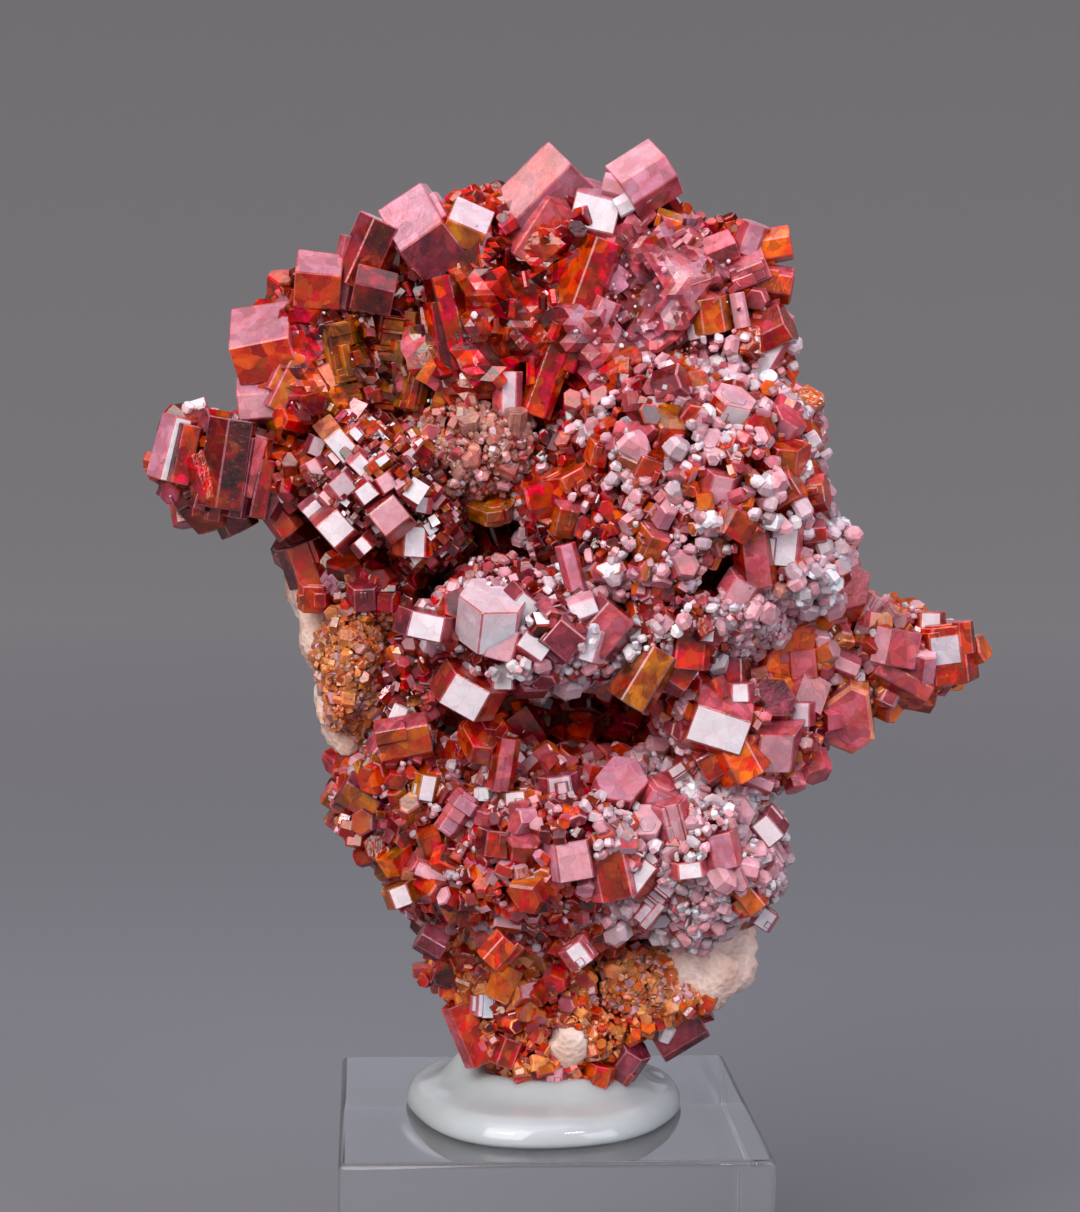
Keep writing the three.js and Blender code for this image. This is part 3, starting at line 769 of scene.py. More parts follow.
def cover(lumps, origin, others, rows, zones, late_share=LATE_SHARE):
    """Small crystals all over the rounded masses, outside whatever hides them.

    The first zone holds wherever no later one does.
    """
    spots, normals = [], []
    finest = min(zone["size"] / zone.get("fill", 1.0) ** 0.5 for zone in zones)
    for n, row in enumerate(lumps):
        radii = np.array(row[3:], float)
        a, b, c = radii ** 1.6
        area = 4 * math.pi * ((a * b + a * c + b * c) / 3) ** 0.625
        directions = even_directions(int(area / (SPACING * finest) ** 2))
        directions = unit(directions + rng.normal(0, STRAY * finest / radii.mean(), directions.shape))
        found = lump_points(row, origin, directions) - unit(directions / radii) * SKIN
        rest = [r for m, r in enumerate(lumps) if m != n]
        free = ~inside(found, rest, origin, HIDDEN_BY_OWN) if rest else np.ones(len(found), bool)
        for hiding, at in others:
            free &= ~inside(found, hiding, at, HIDDEN_BY_OTHERS)
        spots.append(found[free])
        normals.append(unit(directions / radii)[free])
    spots, normals = np.concatenate(spots), np.concatenate(normals)
    zone_of = np.zeros(len(spots), int)
    for n, zone in reversed(list(enumerate(zones))[1:]):
        x, z, wide, tall = zone["at"]
        share = ((spots[:, 0] - x) / wide) ** 2 + ((spots[:, 2] - z) / tall) ** 2
        zone_of[share < rng.uniform(0.7, 1.3, len(spots))] = n

    def each(key, usual):
        return np.array([zone.get(key, usual) for zone in zones], float)[zone_of]

    size = each("size", 0)
    clump = np.array([noise.noise(Vector(p) * CLUMPS_PER_MM) for p in spots])
    stay = rng.uniform(0, 1, len(spots)) < finest ** 2 * each("fill", 1.0) / size ** 2
    stay &= (clump > each("clump", -1.0)) & ~buried(spots, rows, origin, late_share)
    each_lift = each("lift", 0)[stay]
    spots, normals, zone_of, size = spots[stay], normals[stay], zone_of[stay], size[stay]
    count = len(spots)
    large = np.exp(rng.normal(0, SIZE_SPREAD, count))
    radius = size * large * np.where(rng.uniform(0, 1, count) < LARGE_SHARE, LARGE_BY, 1.0)
    length = radius * each("long", 1.3) * rng.uniform(*LENGTHS, count)
    tangent = unit(np.cross(normals, rng.normal(0, 1, (count, 3))))
    tip = np.radians(rng.normal(0, TIP_SPREAD, count) + each("tip", 60))
    axis = normals * np.cos(tip)[:, None] + tangent * np.sin(tip)[:, None]
    for n, zone in enumerate(zones):
        if "lean" in zone:
            here = zone_of == n
            lean = np.radians(rng.normal(zone["lean"], zone.get("sway", 8), here.sum())
                              - 90 * rng.integers(0, 2, here.sum()) * zone.get("crossed", 0))
            face = np.radians(rng.normal(0, FACE_SPREAD, here.sum()))
            if "fan" in zone:
                lean += np.arctan2(spots[here, 0] - zone["fan"][0], spots[here, 2] - zone["fan"][1])
            axis[here] = np.stack((np.sin(lean) * np.cos(face), -np.sin(face), np.cos(lean) * np.cos(face)),
                                  axis=1)
    front = unit(np.cross(axis, rng.normal(0, 1, (count, 3))))
    # In a zone with painted glints, each crystal turns one face to the front, where the glint is painted.
    for n, zone in enumerate(zones):
        if "painted_glint" in zone:
            here = zone_of == n
            ahead = np.array(PAINTED_GLINT_FACING) + rng.normal(0, 0.12, (here.sum(), 3))
            front[here] = unit(ahead - (ahead * axis[here]).sum(axis=1)[:, None] * axis[here])
    looks = np.empty((count, KINDS, 8))
    for n, zone in enumerate(zones):
        here = np.flatnonzero(zone_of == n)
        share = np.array(list(zone["tints"].values()), float)
        share /= share.sum()
        table = np.array([look_of(k) for k in zone["tints"]])
        looks[here] = table[rng.choice(len(share), len(here), p=share)][:, None]
        other = rng.uniform(0, 1, (len(here), KINDS)) < zone.get("mixed", 0.4)
        drawn = table[rng.choice(len(share), other.shape, p=share)]
        looks[here] = np.where(other[..., None], drawn, looks[here])
    rise = rng.uniform(*RISES, count)
    vary = each("vary", 0.2)[:, None, None]
    # Each crystal and face is lighter or darker at random, and deeper crystals get a painted shade.
    looks = shade(looks, (1 + vary * rng.uniform(-1, 1, (count, 1, 1)))
                  * rng.uniform(*SIDE_SHADES, (count, KINDS, 1))
                  * (PAINTED_SHADE_DEEPEST + PAINTED_SHADE_LIFT * (rise - RISES[0]))[:, None, None])
    # Bevelled edges get a painted blush highlight, more on some crystals than on others.
    edge_highlight = rng.uniform(0.0, PAINTED_EDGE_HIGHLIGHT, (count, 1))
    looks[:, EDGE] = looks[:, EDGE] * (1 - edge_highlight) + look_of("blush") * edge_highlight
    # Painted glints: a share of the crystals facing front have that face painted pale.
    for n, zone in enumerate(zones):
        for key, share in zone.get("painted_glint", {}).items():
            lit = (zone_of == n) & (rng.uniform(0, 1, count) < share) & (normals[:, 1] < -0.2)
            looks[lit, 0] = look_of(key)
    centre = spots + normals * (radius * rise + each_lift)[:, None] + axis * (length * 0.2)[:, None]
    sides = 1 + rng.normal(0, 0.16, (count, SIDES)).clip(-0.35, 0.35)
    return {"centre": centre, "axis": axis, "front": front, "radius": radius, "length": length,
            "edge": radius * SMALL_EDGE, "sides": sides, "taper": rng.uniform(0.8, 1.0, count), "look": looks}


# The crust under the coverings: coarse and fine facets, how many lie in a millimetre and how
# high each stands, and how the crust is drawn out along a fan. Low facets are painted darker
# and high ones lighter, a painted shade of the crevices; the crust's dark reds are partly its
# own colour and partly painted shade of the gaps between crystals.
COARSE, COARSE_HEIGHT = 0.5, 1.15
FINE, FINE_HEIGHT = 1.5, 0.32
FACET_TILT = 2.2
FAN_ACROSS, FAN_ALONG = 14, 0.3
CRUST_PAINTED_SHADES = (0.5, 1.25)


def fracture(spot):
    """Flat, tilted facets of a broken surface: height and a number from 0 to 1 for each facet."""
    near = noise.voronoi(spot)[1][0]
    kind = noise.cell(near * 61.7)
    tilt = noise.cell_vector(near * 43.1) - Vector((0.5, 0.5, 0.5))
    return kind - 0.5 + FACET_TILT * tilt.dot(spot - near), kind


def crust(name, lumps, origin, zones, sunk=0.8, fan=None, level=4):
    """The broken mass that the larger crystals grow out of, its facets drawn out along a fan.

    The first zone is the looks used wherever no later one lies, and the rest are x, z, two
    radii and looks.
    """
    directions, ball_faces = ball(level)
    points, faces, kinds, depth = [], [], [], []
    for row in lumps:
        faces += [tuple(i + len(points) for i in face) for face in ball_faces]
        for p, out in zip(lump_points(row, origin, directions), directions):
            place = Vector(p)
            if fan:
                x, z = p[0] - fan[0], p[2] - fan[1]
                along = math.atan2(x, z) * FAN_ACROSS + 0.8 * noise.noise(place * 0.3)
                place = Vector((along, math.hypot(x, z) * FAN_ALONG, p[1]))
            coarse, a = fracture(place * COARSE)
            fine, b = fracture(place * FINE)
            height = COARSE_HEIGHT * coarse + FINE_HEIGHT * fine
            points.append(tuple(p + out * (height - sunk)))
            kinds.append((a * 0.55 + b * 0.45 + 0.5 * (b - 0.5)) % 1)
            # Painted shade: the lower a facet, the darker it is painted.
            depth.append(min(CRUST_PAINTED_SHADES[1], max(CRUST_PAINTED_SHADES[0], 0.9 + 0.5 * height)))
    made = mesh_of(name, points, faces, False)
    corner = np.empty(len(made.loops), np.int32)
    made.loops.foreach_get("vertex_index", corner)
    first = corner[::3]
    looks = np.empty((len(first), 8))
    for n, f in enumerate(first):
        keys = zones[0].split()
        for x, z, wide, tall, others in zones[1:]:
            if ((points[f][0] - x) / wide) ** 2 + ((points[f][2] - z) / tall) ** 2 < 1:
                keys = others.split()
        looks[n] = shade(look_of(keys[int(kinds[f] * len(keys) * 0.999)]), depth[f])
    colour_corners(made, np.repeat(looks, 3, axis=0))
    return made


def grow_group(node, rows, zones, crust_zones, bead_zones=None, scale=1.0, **crust_shape):
    """A crystal group: its large crystals, its covering of small ones and its crust."""
    lumps, origin = MASSES[node]
    origin = np.array(origin, float)
    hidden = [(ROCK_LUMPS, np.zeros(3))] + [(l, np.array(o)) for n, (l, o) in MASSES.items() if n != node]
    rows = seated(rows, lumps)
    sets = [("cut", intergrown(rows, origin, scale)), ("plain", cover(lumps, origin, hidden, rows, zones))]
    if bead_zones:
        sets.append(("bead", cover(lumps, origin, hidden, rows, bead_zones, LATE_BEAD_SHARE)))
    name = node.replace("_crystals", "")
    piece = piece_from(name + "_prisms", join_crystals(name + "_prisms", sets), vanadinite)
    under = crust(name + "_crust", lumps, origin, crust_zones, **crust_shape)
    piece_from(name + "_crust", under, vanadinite)
    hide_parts(node)


# The rounded masses of every group, centre and radii from the group's own centre. All of them
# are needed before any group grows, so that no crystal is made where another group hides it.
MASSES = {
    "crest_crystals": ([(3, 1.5, -2, 13, 5.5, 8.5), (3.5, 1.5, 4.5, 9, 4.5, 5), (-11, 2, -4, 6.2, 5, 6),
                        (14, 1.5, 2, 7, 5, 6), (18, 1.5, -1, 4.5, 5, 5.5)], (-5.2, -4, 80)),
    "left_arm_crystals": ([(0.5, 1, -0.5, 4.8, 4, 3.6), (5, 1, -1, 4, 4, 3)], (-24.8, -4, 69.2)),
    "left_cluster_crystals": ([(0, 1, 0.5, 5, 5, 4.6), (3.5, 2, -3, 3.2, 4, 3.4)], (-13, -7, 67.5)),
    "centre_druse": ([(-0.5, 0.5, 1, 5.5, 4.5, 4), (3, 1, 0, 3, 3.5, 3.6)], (-5.2, -5, 69.2)),
    "right_dome_crystals": ([(0, 2, 0.4, 10.2, 8, 9.4), (-8, 3, 0, 4.2, 5.5, 5),
                             (3, 2.5, -4, 8.6, 7.5, 5.6), (2.8, 1.2, -7.8, 4.4, 5.4, 3.4)],
                            (9.8, -9, 66.6)),
    "centre_cluster_crystals": ([(0.5, 3, 0, 7.6, 7, 4.4), (10, 3.5, 0.5, 5.4, 6.5, 4.4)],
                                (-1.8, -11, 57.3)),
    "right_arm_crystals": ([(-5, 1, 0, 6.4, 5, 4.8), (2, 1, 0.4, 5, 4.2, 3.6), (6, 1, 0, 2.5, 3, 2.2)],
                           (23.3, -4, 54.4)),
    "right_shelf_crystals": ([(0, 2.5, 0, 4.6, 6, 4.2), (3.5, 3, -1, 4, 5, 4)], (12.7, -9, 50.4)),
    "lower_lobe_crystals": ([(-1, 2, -1, 12.6, 8, 7.4), (-12, 3, 2, 5, 5.5, 5.2),
                             (9, 2, -1, 6.5, 7.5, 6.6)], (1.3, -8, 41.8)),
    "foot_druse": ([(-0.5, 1, 0, 6.4, 5, 5.6), (6.5, 1, 2, 5.6, 5, 3.6), (-3, 1.5, 3, 6, 5, 4)],
                   (0.7, -4, 27.2)),
    "left_edge_druse": ([(0.7, 0.1, -0.2, 2.9, 3.8, 5.8), (2, 0, 5, 3.5, 4, 3), (4.6, 1, -2, 3.6, 4, 4.2)],
                        (-15.5, -2.5, 54.3)),
    "back_crystals": ([(0, 0, 0, 8, 3.4, 7), (-6, 0, 7, 6, 3, 5)], (1.5, 10.5, 63)),
}

# The crest: a fan of the largest crystals, blocky prisms spread from the middle of the rock.
# Their upper faces are lilac pink, a painted sheen of the light from above, the fronts of the left
# ones glow orange, and between them the fan is a chaos of deep red splinters, with stacked golden
# plates at its left. The rows of this and every later table are as seated() reads them.
CREST = [
    (11.6, 10.1, 2.4, 3.9, "rose F:lilac T:blush alone", 58, 0, 0, -1),
    (10.6, 8.4, 0.8, 2.6, "frost alone", 62, 0, 20, -2.2),
    (4.2, 8.9, 3.1, 6, "rose L:lilac R:mauve alone", 43, 3, 30),
    (3.4, 6.6, 2.2, 5, "rose F:rose alone sunk", 34, 5, 20),
    (8, 7.4, 2.6, 3.4, "mauve F:frost alone", 104, 5),
    (9.3, 9.5, 0.9, 1.7, "blush alone", 104, 0, 0, -1.6),
    (-4.5, 6, 3.6, 3.8, "rose L:lilac R:plum", 54, 10, 25, -0.3),
    (-8.6, 4.4, 1.9, 5.2, "blood L:plum F:wine R:brick alone", 25, 5, 10, -1),
    (-10.4, 3, 1, 5.4, "rose alone", 10, 0, 0, -0.8),
    (-8.3, 1.6, 1.9, 3.0, "wine T:frost F:wine alone", 103, 0, 24, -3),
    (-12.3, 2.1, 2.6, 3.4, "rust T:mauve F:rust alone", 92, 3, 18, -0.5),
    (-15.8, -2.4, 3.2, 4.6, "rust T:mauve F:rust C:rose alone", 80, 16, 20),
    (-16.8, -6.4, 1.9, 3, "rose T:lilac F:blush alone", 85, 0, 10, -0.5),
    (-1.6, 6.2, 2, 3.1, "amber T:pearl F:amber alone", 112, 0, 18),
    (13.4, 7, 0.9, 2, "flame T:amber alone", 105, 0, 15),
    (16.8, 4.6, 1.5, 3.4, "rose T:rose F:plum sunk", 66, 0, 10),
    (19.6, 5.8, 1.2, 2.4, "rose F:lilac alone", 20, 10, 0, -1),
    (21.2, 5.3, 1.5, 3, "rust T:flame F:flame", 78, 10, 15, -0.5),
    (19.4, 3.6, 1.7, 3, "rose F:rose", 70, 10, 15),
    (21.3, 2.5, 1.6, 3, "rust T:rose", 100, 10, 0, -0.5),
    (21, -1, 1.7, 3.2, "brick T:rose", 60, 20, 20),
    (21, -2.8, 1, 3.9, "rose F:frost alone", 32),
    (16.5, 0.2, 1.9, 2.6, "amber F:ember alone", -10, 5),
    (15.3, -0.8, 0.7, 1.7, "pearl alone", -15),
    (18.6, 0.5, 0.6, 2.6, "blush alone", -12),
    (13.9, -4.3, 1.3, 4.4, "pearl F:druse T:pearl", 80),
    (6.7, 0.9, 2, 10, "blood F:blood R:blood L:rust alone sunk", 21, 0, 10),
    (4.7, -3.8, 1.4, 7.5, "blood F:blood R:rust alone sunk", 20),
    (8, -0.6, 1.1, 4, "rose F:lilac alone", 22, 5),
    (1.5, -6, 1.2, 3.8, "rose F:pearl alone", 2),
    (-0.5, 2.5, 1.6, 8, "blood L:wine R:blood alone sunk", -8, 0, 30),
    (-2.6, -0.6, 1.4, 7, "wine F:blood L:wine alone sunk", -14, 0, 5),
    (-10.5, -4, 1.7, 7, "amber F:olive stack sunk", -12, 5, 10),
    (-7.3, -4, 2, 8, "brick F:amber stack sunk", 5, 5),
    (-12.8, -3.5, 1.3, 5, "rose F:peach stack sunk", -20, 0, 20),
    (-5.2, -4.6, 1.1, 5, "amber F:brick stack sunk", 12),
    (-3, -2, 1.4, 6, "blood F:wine sunk", -10),
    (-14.6, -5, 1.3, 4.5, "rose F:peach", 25),
    (-12, 0.8, 1.2, 3, "rust F:wine", 10),
]
grow_group(
    "crest_crystals", CREST,
    [
        prisms(0.5, DEEP_REDS + ", olive 1", long=1.9, fill=0.9),
        prisms(0.26, "blood 6, scarlet 4, wine 3, rust 2", at=(-4, 78.5, 8, 8), long=4, fill=0.05, lean=0,
               fan=(-2.5, 62), sway=12, mixed=0.5),
        prisms(0.3, "rose 4, lilac 1", at=(6.8, 80.5, 8, 8), long=2.4, fill=0.03, lean=47, sway=9),
        prisms(0.36, "amber 3, brick 3, ember 2, rose 4, druse 3, wine 2, olive 3", at=(-14, 75, 4.5, 6),
               long=2, fill=0.3, lean=0, fan=(-9, 60), sway=14, mixed=0.5),
        prisms(0.6, "rose 4, pearl 1.5, rust 2, amber 2, brick 2", at=(15, 77.5, 4, 4.5), tip=70),
    ],
    ["blood rust wine brick",
     (-4, 78.5, 9, 9, "wine blood scarlet wine blood scarlet blood wine brick blood"),
     (8.3, 80.5, 9, 9, "rose mauve rose lilac rose mauve rose plum rose brick"),
     (-13.5, 75, 4.5, 6.5, "olive amber ember wine amber rose brick olive peach")],
    [
        beads(0.14, "frost 1", fill=0.004, lift=0.4),
        beads(0.12, "frost 1, blush 2", at=(6.5, 79.5, 5, 4.5), fill=0.03, lift=0.35),
        beads(0.4, "pearl 3, blush 2, frost 1", at=(15, 76.5, 5, 3), fill=0.5, lift=0.7),
    ],
    sunk=0.0, fan=(-2.5, 62), level=5,
)

# The left arm: a knot of long prisms standing clear of the rock, the outermost with one broad
# pale face, a painted reflection of the lamps, all of them dark red-orange in their depth.
LEFT_ARM = [
    (-3.5, 0.8, 1.5, 4.8, "rose F:frost L:lilac alone", 14, 0, 14, -0.8),
    (-2.3, 0.4, 1.3, 4.4, "wine F:blood alone", 12),
    (0.6, -0.2, 1.8, 6.6, "wine L:wine R:brick alone", 11, 0, 24),
    (-0.6, -0.6, 0.8, 6.2, "wine F:plum alone", 13, 0, 5),
    (0.6, 0.1, 0.7, 5.6, "blood F:wine alone", 9, 0, 15),
    (1.6, -1.2, 1, 6, "plum F:wine alone", 9),
    (2.5, -0.4, 0.9, 4.6, "brick F:rose alone", 16),
    (2.8, -2, 1.6, 4.4, "wine F:brick alone", 12, 0, 20),
    (-0.2, -2.8, 0.7, 3.4, "rose F:brick alone", 10),
    (-2.4, -2.6, 1.2, 2.4, "wine", 60),
    (-3.6, -2, 0.9, 2, "plum F:rose alone", 20, 0, 0, -0.3),
    (3.6, -3, 1.3, 2.2, "plum F:plum", 30),
    (4.6, -4.6, 1.2, 2.2, "brick", -40, 0, 0, -0.5),
    (0.9, -4, 1.5, 3, "wine", -30, 0, 0, 0.5),
    (-1.7, 3.3, 1.1, 1.8, "rose T:frost", 70, 0, 0, 0.5),
    (-2.4, 3.8, 0.45, 0.6, "frost alone", 30, 30, 0, -0.6),
    (-1.4, 3.9, 0.3, 0.5, "frost alone", 70, 10, 0, -0.4),
    (-0.4, 3.5, 0.35, 0.5, "blush alone", 10, 10, 0, -0.4),
    (4.6, -2.6, 0.4, 0.9, "frost alone", -35),
]
grow_group(
    "left_arm_crystals", LEFT_ARM,
    [
        prisms(0.55, "brick 3, rust 3, wine 4, plum 2, blood 2", long=1.6, tip=50),
    ],
    ["wine blood wine"],
)

# The left cluster: small square-shouldered prisms in parallel growth, most turned so that one
# side face shows flat and almost white, a painted reflection of the lamps.
LEFT_CLUSTER = [
    (-2.9, 3.1, 2.3, 1.6, "amber F:frost alone", 48),
    (-1.5, 1.7, 1.2, 1.2, "rose F:frost alone", 48),
    (0.5, -1.8, 2, 2.4, "brick F:blush alone", 50),
    (-3.3, -2.9, 2, 2.1, "plum F:frost alone", 50, 0, 0, -2),
    (-4.8, -1.8, 1.2, 1.4, "plum F:frost alone", 50, 0, 0, -1.5),
    (2.4, -4, 1.5, 2.3, "rust F:frost alone", 3),
    (3.1, -1.3, 0.9, 1.2, "rose F:frost alone", 10),
    (3, 0.2, 0.8, 1, "rose F:frost alone", 20),
    (0.4, 0.4, 1.2, 1.3, "brick F:blush alone", -35),
    (-0.9, -0.3, 1.2, 1.3, "brick F:frost alone", -40),
    (-2.7, 0.1, 1.3, 1.6, "rose F:pearl alone", -40),
    (-4.8, 1.2, 1.1, 1.4, "rose F:blush alone", -30, 0, 0, -1),
    (-4.6, 2.8, 0.9, 1.4, "plum F:pearl alone", 20, 0, 0, -0.5),
    (-1.2, -4.2, 1, 1.2, "brick F:frost alone", -42, 0, 0, -2.6),
    (2.2, 2.2, 0.9, 1.1, "brick F:pearl alone", -38),
]
grow_group(
    "left_cluster_crystals", LEFT_CLUSTER,
    [
        prisms(0.45, "rose 2, brick 3, wine 4, plum 2, amber 1.5", long=1.1, lean=46, sway=6, crossed=1,
               painted_glint="frost 0.2, blush 0.15"),
    ],
    ["wine wine plum"],
)

# The centre druse: a cauliflower of grains well under a millimetre, pale brownish pink, with
# one honey-coloured plate at its lower edge.
CENTRE_DRUSE = [
    (0.7, -3.4, 2.2, 1.2, "amber F:ember", -8, 20, 0, -1.5),
    (-1.3, 2.5, 0.9, 2.4, "druse", -10, 40),
    (2, 2.5, 0.9, 3, "druse", 5, 20),
    (-3.5, -1, 0.9, 2, "druse", -30, 40),
]
grow_group(
    "centre_druse", CENTRE_DRUSE,
    [
        prisms(0.32, "druse 6, rose 2, brick 2, amber 1"),
        prisms(0.45, "wine 4, blood 3, amber 1", at=(-5, 65.6, 5, 1.6), long=1.2),
    ],
    ["brick wine rose"],
    [
        beads(0.28, "druse 5, rose 1, blush 1, pearl 0.7", fill=0.6, long=1.1, lift=0.35, clump=-0.25,
              mixed=0.4),
    ],
)

# The right dome: a swelling of the rock crowded with round-shouldered crystals about a
# millimetre across, pale pink to white, among brown-orange ones up to four millimetres.
RIGHT_DOME = [
    (-2.2, 5.3, 2, 3, "ember C:amber F:rust alone", 5, 40),
    (-3.1, 6.7, 1, 1.6, "pearl", 0, 50),
    (2.2, 6.6, 2.1, 3, "brick C:blush F:frost", 20, 30, 20),
    (1.3, 1.5, 1.9, 2.6, "rose F:blush alone", 10, 20),
    (0.7, 4.3, 1.2, 2, "blush", 0, 70),
    (6.5, 3.4, 2, 2.4, "rust F:ember alone", 5, 20),
    (6.4, 5.5, 1.7, 2.4, "rose F:lilac alone", 30, 30),
    (8.4, 0.5, 1.7, 3, "rust C:rust", 80, 20),
    (6.2, 1, 1.9, 3, "rust T:rose", 60, 20),
    (4.2, -3.8, 1.9, 4.6, "brick F:rose alone", -10, 10),
    (6.1, -2.8, 1.9, 3.4, "rose F:frost", 5, 10),
    (8.6, -2.2, 1.2, 2, "rose F:blood", 85),
    (-3.3, -2.7, 1.9, 3, "ember C:rose R:rust", 20, 30, 10),
    (-9.2, -0.9, 1.8, 3, "ember C:rose", 10, 35),
    (-9.2, 1.8, 2.2, 1.2, "rust", -25, 10),
    (-9, -5, 1, 4.6, "rose F:lilac alone", -14, 0, 0, -3),
    (3.2, -6, 1.7, 2.4, "rose F:blush", 25, 25),
    (-3.5, 2.8, 1.5, 2.2, "brick F:rust", 20, 30),
    (-7, 3.8, 1.3, 2.2, "rust", 10, 30),
    (-1.4, 7.3, 1, 1.4, "blush", 20, 20),
    (8.8, 4.5, 0.8, 1, "frost", 60, 0, 0, -0.5),
]
grow_group(
    "right_dome_crystals", RIGHT_DOME,
    [
        prisms(0.58, "rust 3, brick 2, rose 6, ember 3, peach 3, lilac 2, blush 5, pearl 1", long=1.2),
        prisms(0.4, "druse 3, rose 3, brick 2, pearl 3", at=(12.6, 58.6, 4.6, 3.4), long=1.0),
        prisms(0.55, "rose 4, plum 3, brick 3, wine 2, rust 2", at=(4, 73.5, 6.5, 3.4)),
        prisms(0.5, "blood 3, rust 2, wine 5, brick 1", at=(1, 67, 3.6, 6), long=1.4),
    ],
    ["wine brick wine blood"],
    [
        beads(0.42, "pearl 5, blush 4, frost 2, rose 1", fill=0.95, long=1.1, clump=-0.04, vary=0.12),
        beads(0.27, "druse 1, pearl 4, blush 6", at=(12.6, 58.6, 4.4, 3.2), fill=1.2, long=1.1, lift=0.5),
        beads(0.46, "pearl 4, blush 5, frost 3", at=(18, 63, 4, 7), fill=1.0, lift=0.7, clump=-0.25,
              vary=0.1),
        beads(0.3, "pearl 5, blush 3, lilac 1.5", at=(6.5, 62, 3, 3.5), fill=0.9, long=1.1, clump=-0.1),
        beads(0.42, "pearl 4, blush 3, rose 1", at=(4, 73.5, 6, 3.2), fill=0.5, long=1.1, clump=0.0),
        beads(0.4, "pearl 1, blush 2", at=(1.5, 66, 3.6, 5), fill=0.1),
    ],
    scale=0.88,
)

# The centre cluster: a large prism with a pale five-sided face, ringed by white and purplish
# square-shouldered crystals and small pale beads below. The pale and white faces are painted
# reflections of the lamps.
CENTRE_CLUSTER = [
    (-3.5, 1.1, 2.5, 3.6, "rose F:frost L:pearl R:blush C:pearl alone proud", 5, 28, 12),
    (-7.8, 0.5, 2.4, 1.9, "plum F:frost alone", 10, 0, 0, -2),
    (-1.3, 1.8, 1.7, 2.6, "plum F:frost R:blush alone", 40, 5, 10),
    (-2.6, -0.4, 1.9, 2.4, "rose F:blush alone", 15, 10),
    (-0.3, -0.8, 1.2, 2.2, "rose F:frost alone", -55),
    (1.6, -0.2, 1.9, 2.4, "plum F:plum", -50, 10),
    (5, 0.4, 2.1, 3.4, "plum F:rose", 40, 5),
    (3.3, 1.8, 1.2, 2, "blush F:frost alone", 70),
    (3.9, -0.8, 1.2, 2.4, "blush F:frost alone", 20),
    (6.3, -1.8, 1.3, 2.2, "blush F:frost alone", 60),
    (7.2, -0.1, 0.9, 1.6, "frost", 0, 60),
    (-2.3, -3.1, 1.7, 2.2, "rose F:frost alone"),
    (-4.8, -4.2, 2.6, 2.6, "brick F:frost alone", 25, 15, 0, -1),
    (9.6, -2.5, 1.5, 4, "plum F:brick", 125),
    (11, -1.3, 1.6, 2.6, "blood", 5),
    (7.9, -3.2, 1.7, 4.6, "olive F:amber", 30, 0, 0, -2),
]
grow_group(
    "centre_cluster_crystals", CENTRE_CLUSTER,
    [
        prisms(0.5, "rose 3, plum 4, wine 4, brick 3", long=1.1, painted_glint="frost 0.15, blush 0.15"),
        prisms(0.5, DEEP_REDS, at=(-9, 57, 3, 5), long=1.4),
    ],
    # The scarlet crust along the lower recess is painted light, brightening its shade.
    ["wine plum wine", (0, 51, 14, 4, "scarlet blood scarlet")],
    [
        beads(0.36, "pearl 3, blush 3, frost 2", fill=0.4, clump=-0.05),
        beads(0.34, "pearl 3, blush 4, frost 2", at=(3, 55, 7, 2.4), fill=0.8),
    ],
)

# The right arm: orange-red prisms up to five millimetres in a tapering spur, the outermost
# with a lilac-white side face, a painted reflection of the lamps.
RIGHT_ARM = [
    (-2.2, 5, 2.6, 3.6, "brick C:rose T:rose", 10, 55, 30, -1.5),
    (-1.7, 7, 1.3, 2.4, "rose", 30, 30, 0, 0),
    (0.8, 4.1, 0.9, 1.6, "blush", 30, 0, 0, 0),
    (-4.2, 2.6, 1.5, 2, "rust C:peach", 10, 40),
    (-6, 1.2, 2.2, 4, "rust F:flame", 15),
    (-1.7, -0.2, 1.1, 2, "rose F:blush alone", 114),
    (2.2, 1.2, 2, 2.8, "brick L:blush F:rose alone", 10, 0, 15),
    (2.8, -1.2, 1.4, 4.6, "brick F:rose alone", 118),
    (6, 1, 2.5, 2.2, "rust F:pearl alone", -8),
    (6.4, 0.6, 2.4, 4.4, "rust R:brick", -8),
    (4.9, 2.9, 1.5, 1.6, "brick F:frost alone", 0, 0, 0, -0.4),
    (3.8, -2.6, 1.5, 3.6, "rust F:rust", 100, 0, 0, -0.5),
    (-0.8, -2.7, 1.4, 3.4, "ember stack", -30),
    (-5.1, 0.1, 2, 2.2, "rust F:rose", -5),
]
grow_group(
    "right_arm_crystals", RIGHT_ARM,
    [
        prisms(0.6, "rust 2, brick 1, rose 6, peach 4, apricot 5, lilac 1, blush 4", long=1.4),
        prisms(0.45, "rose 3, brick 3, druse 2, rust 2", at=(15.5, 55, 3, 3), long=1.1),
    ],
    ["rust wine wine"],
    [
        beads(0.3, "pearl 3, blush 3", fill=0.15, clump=0.0),
    ],
)

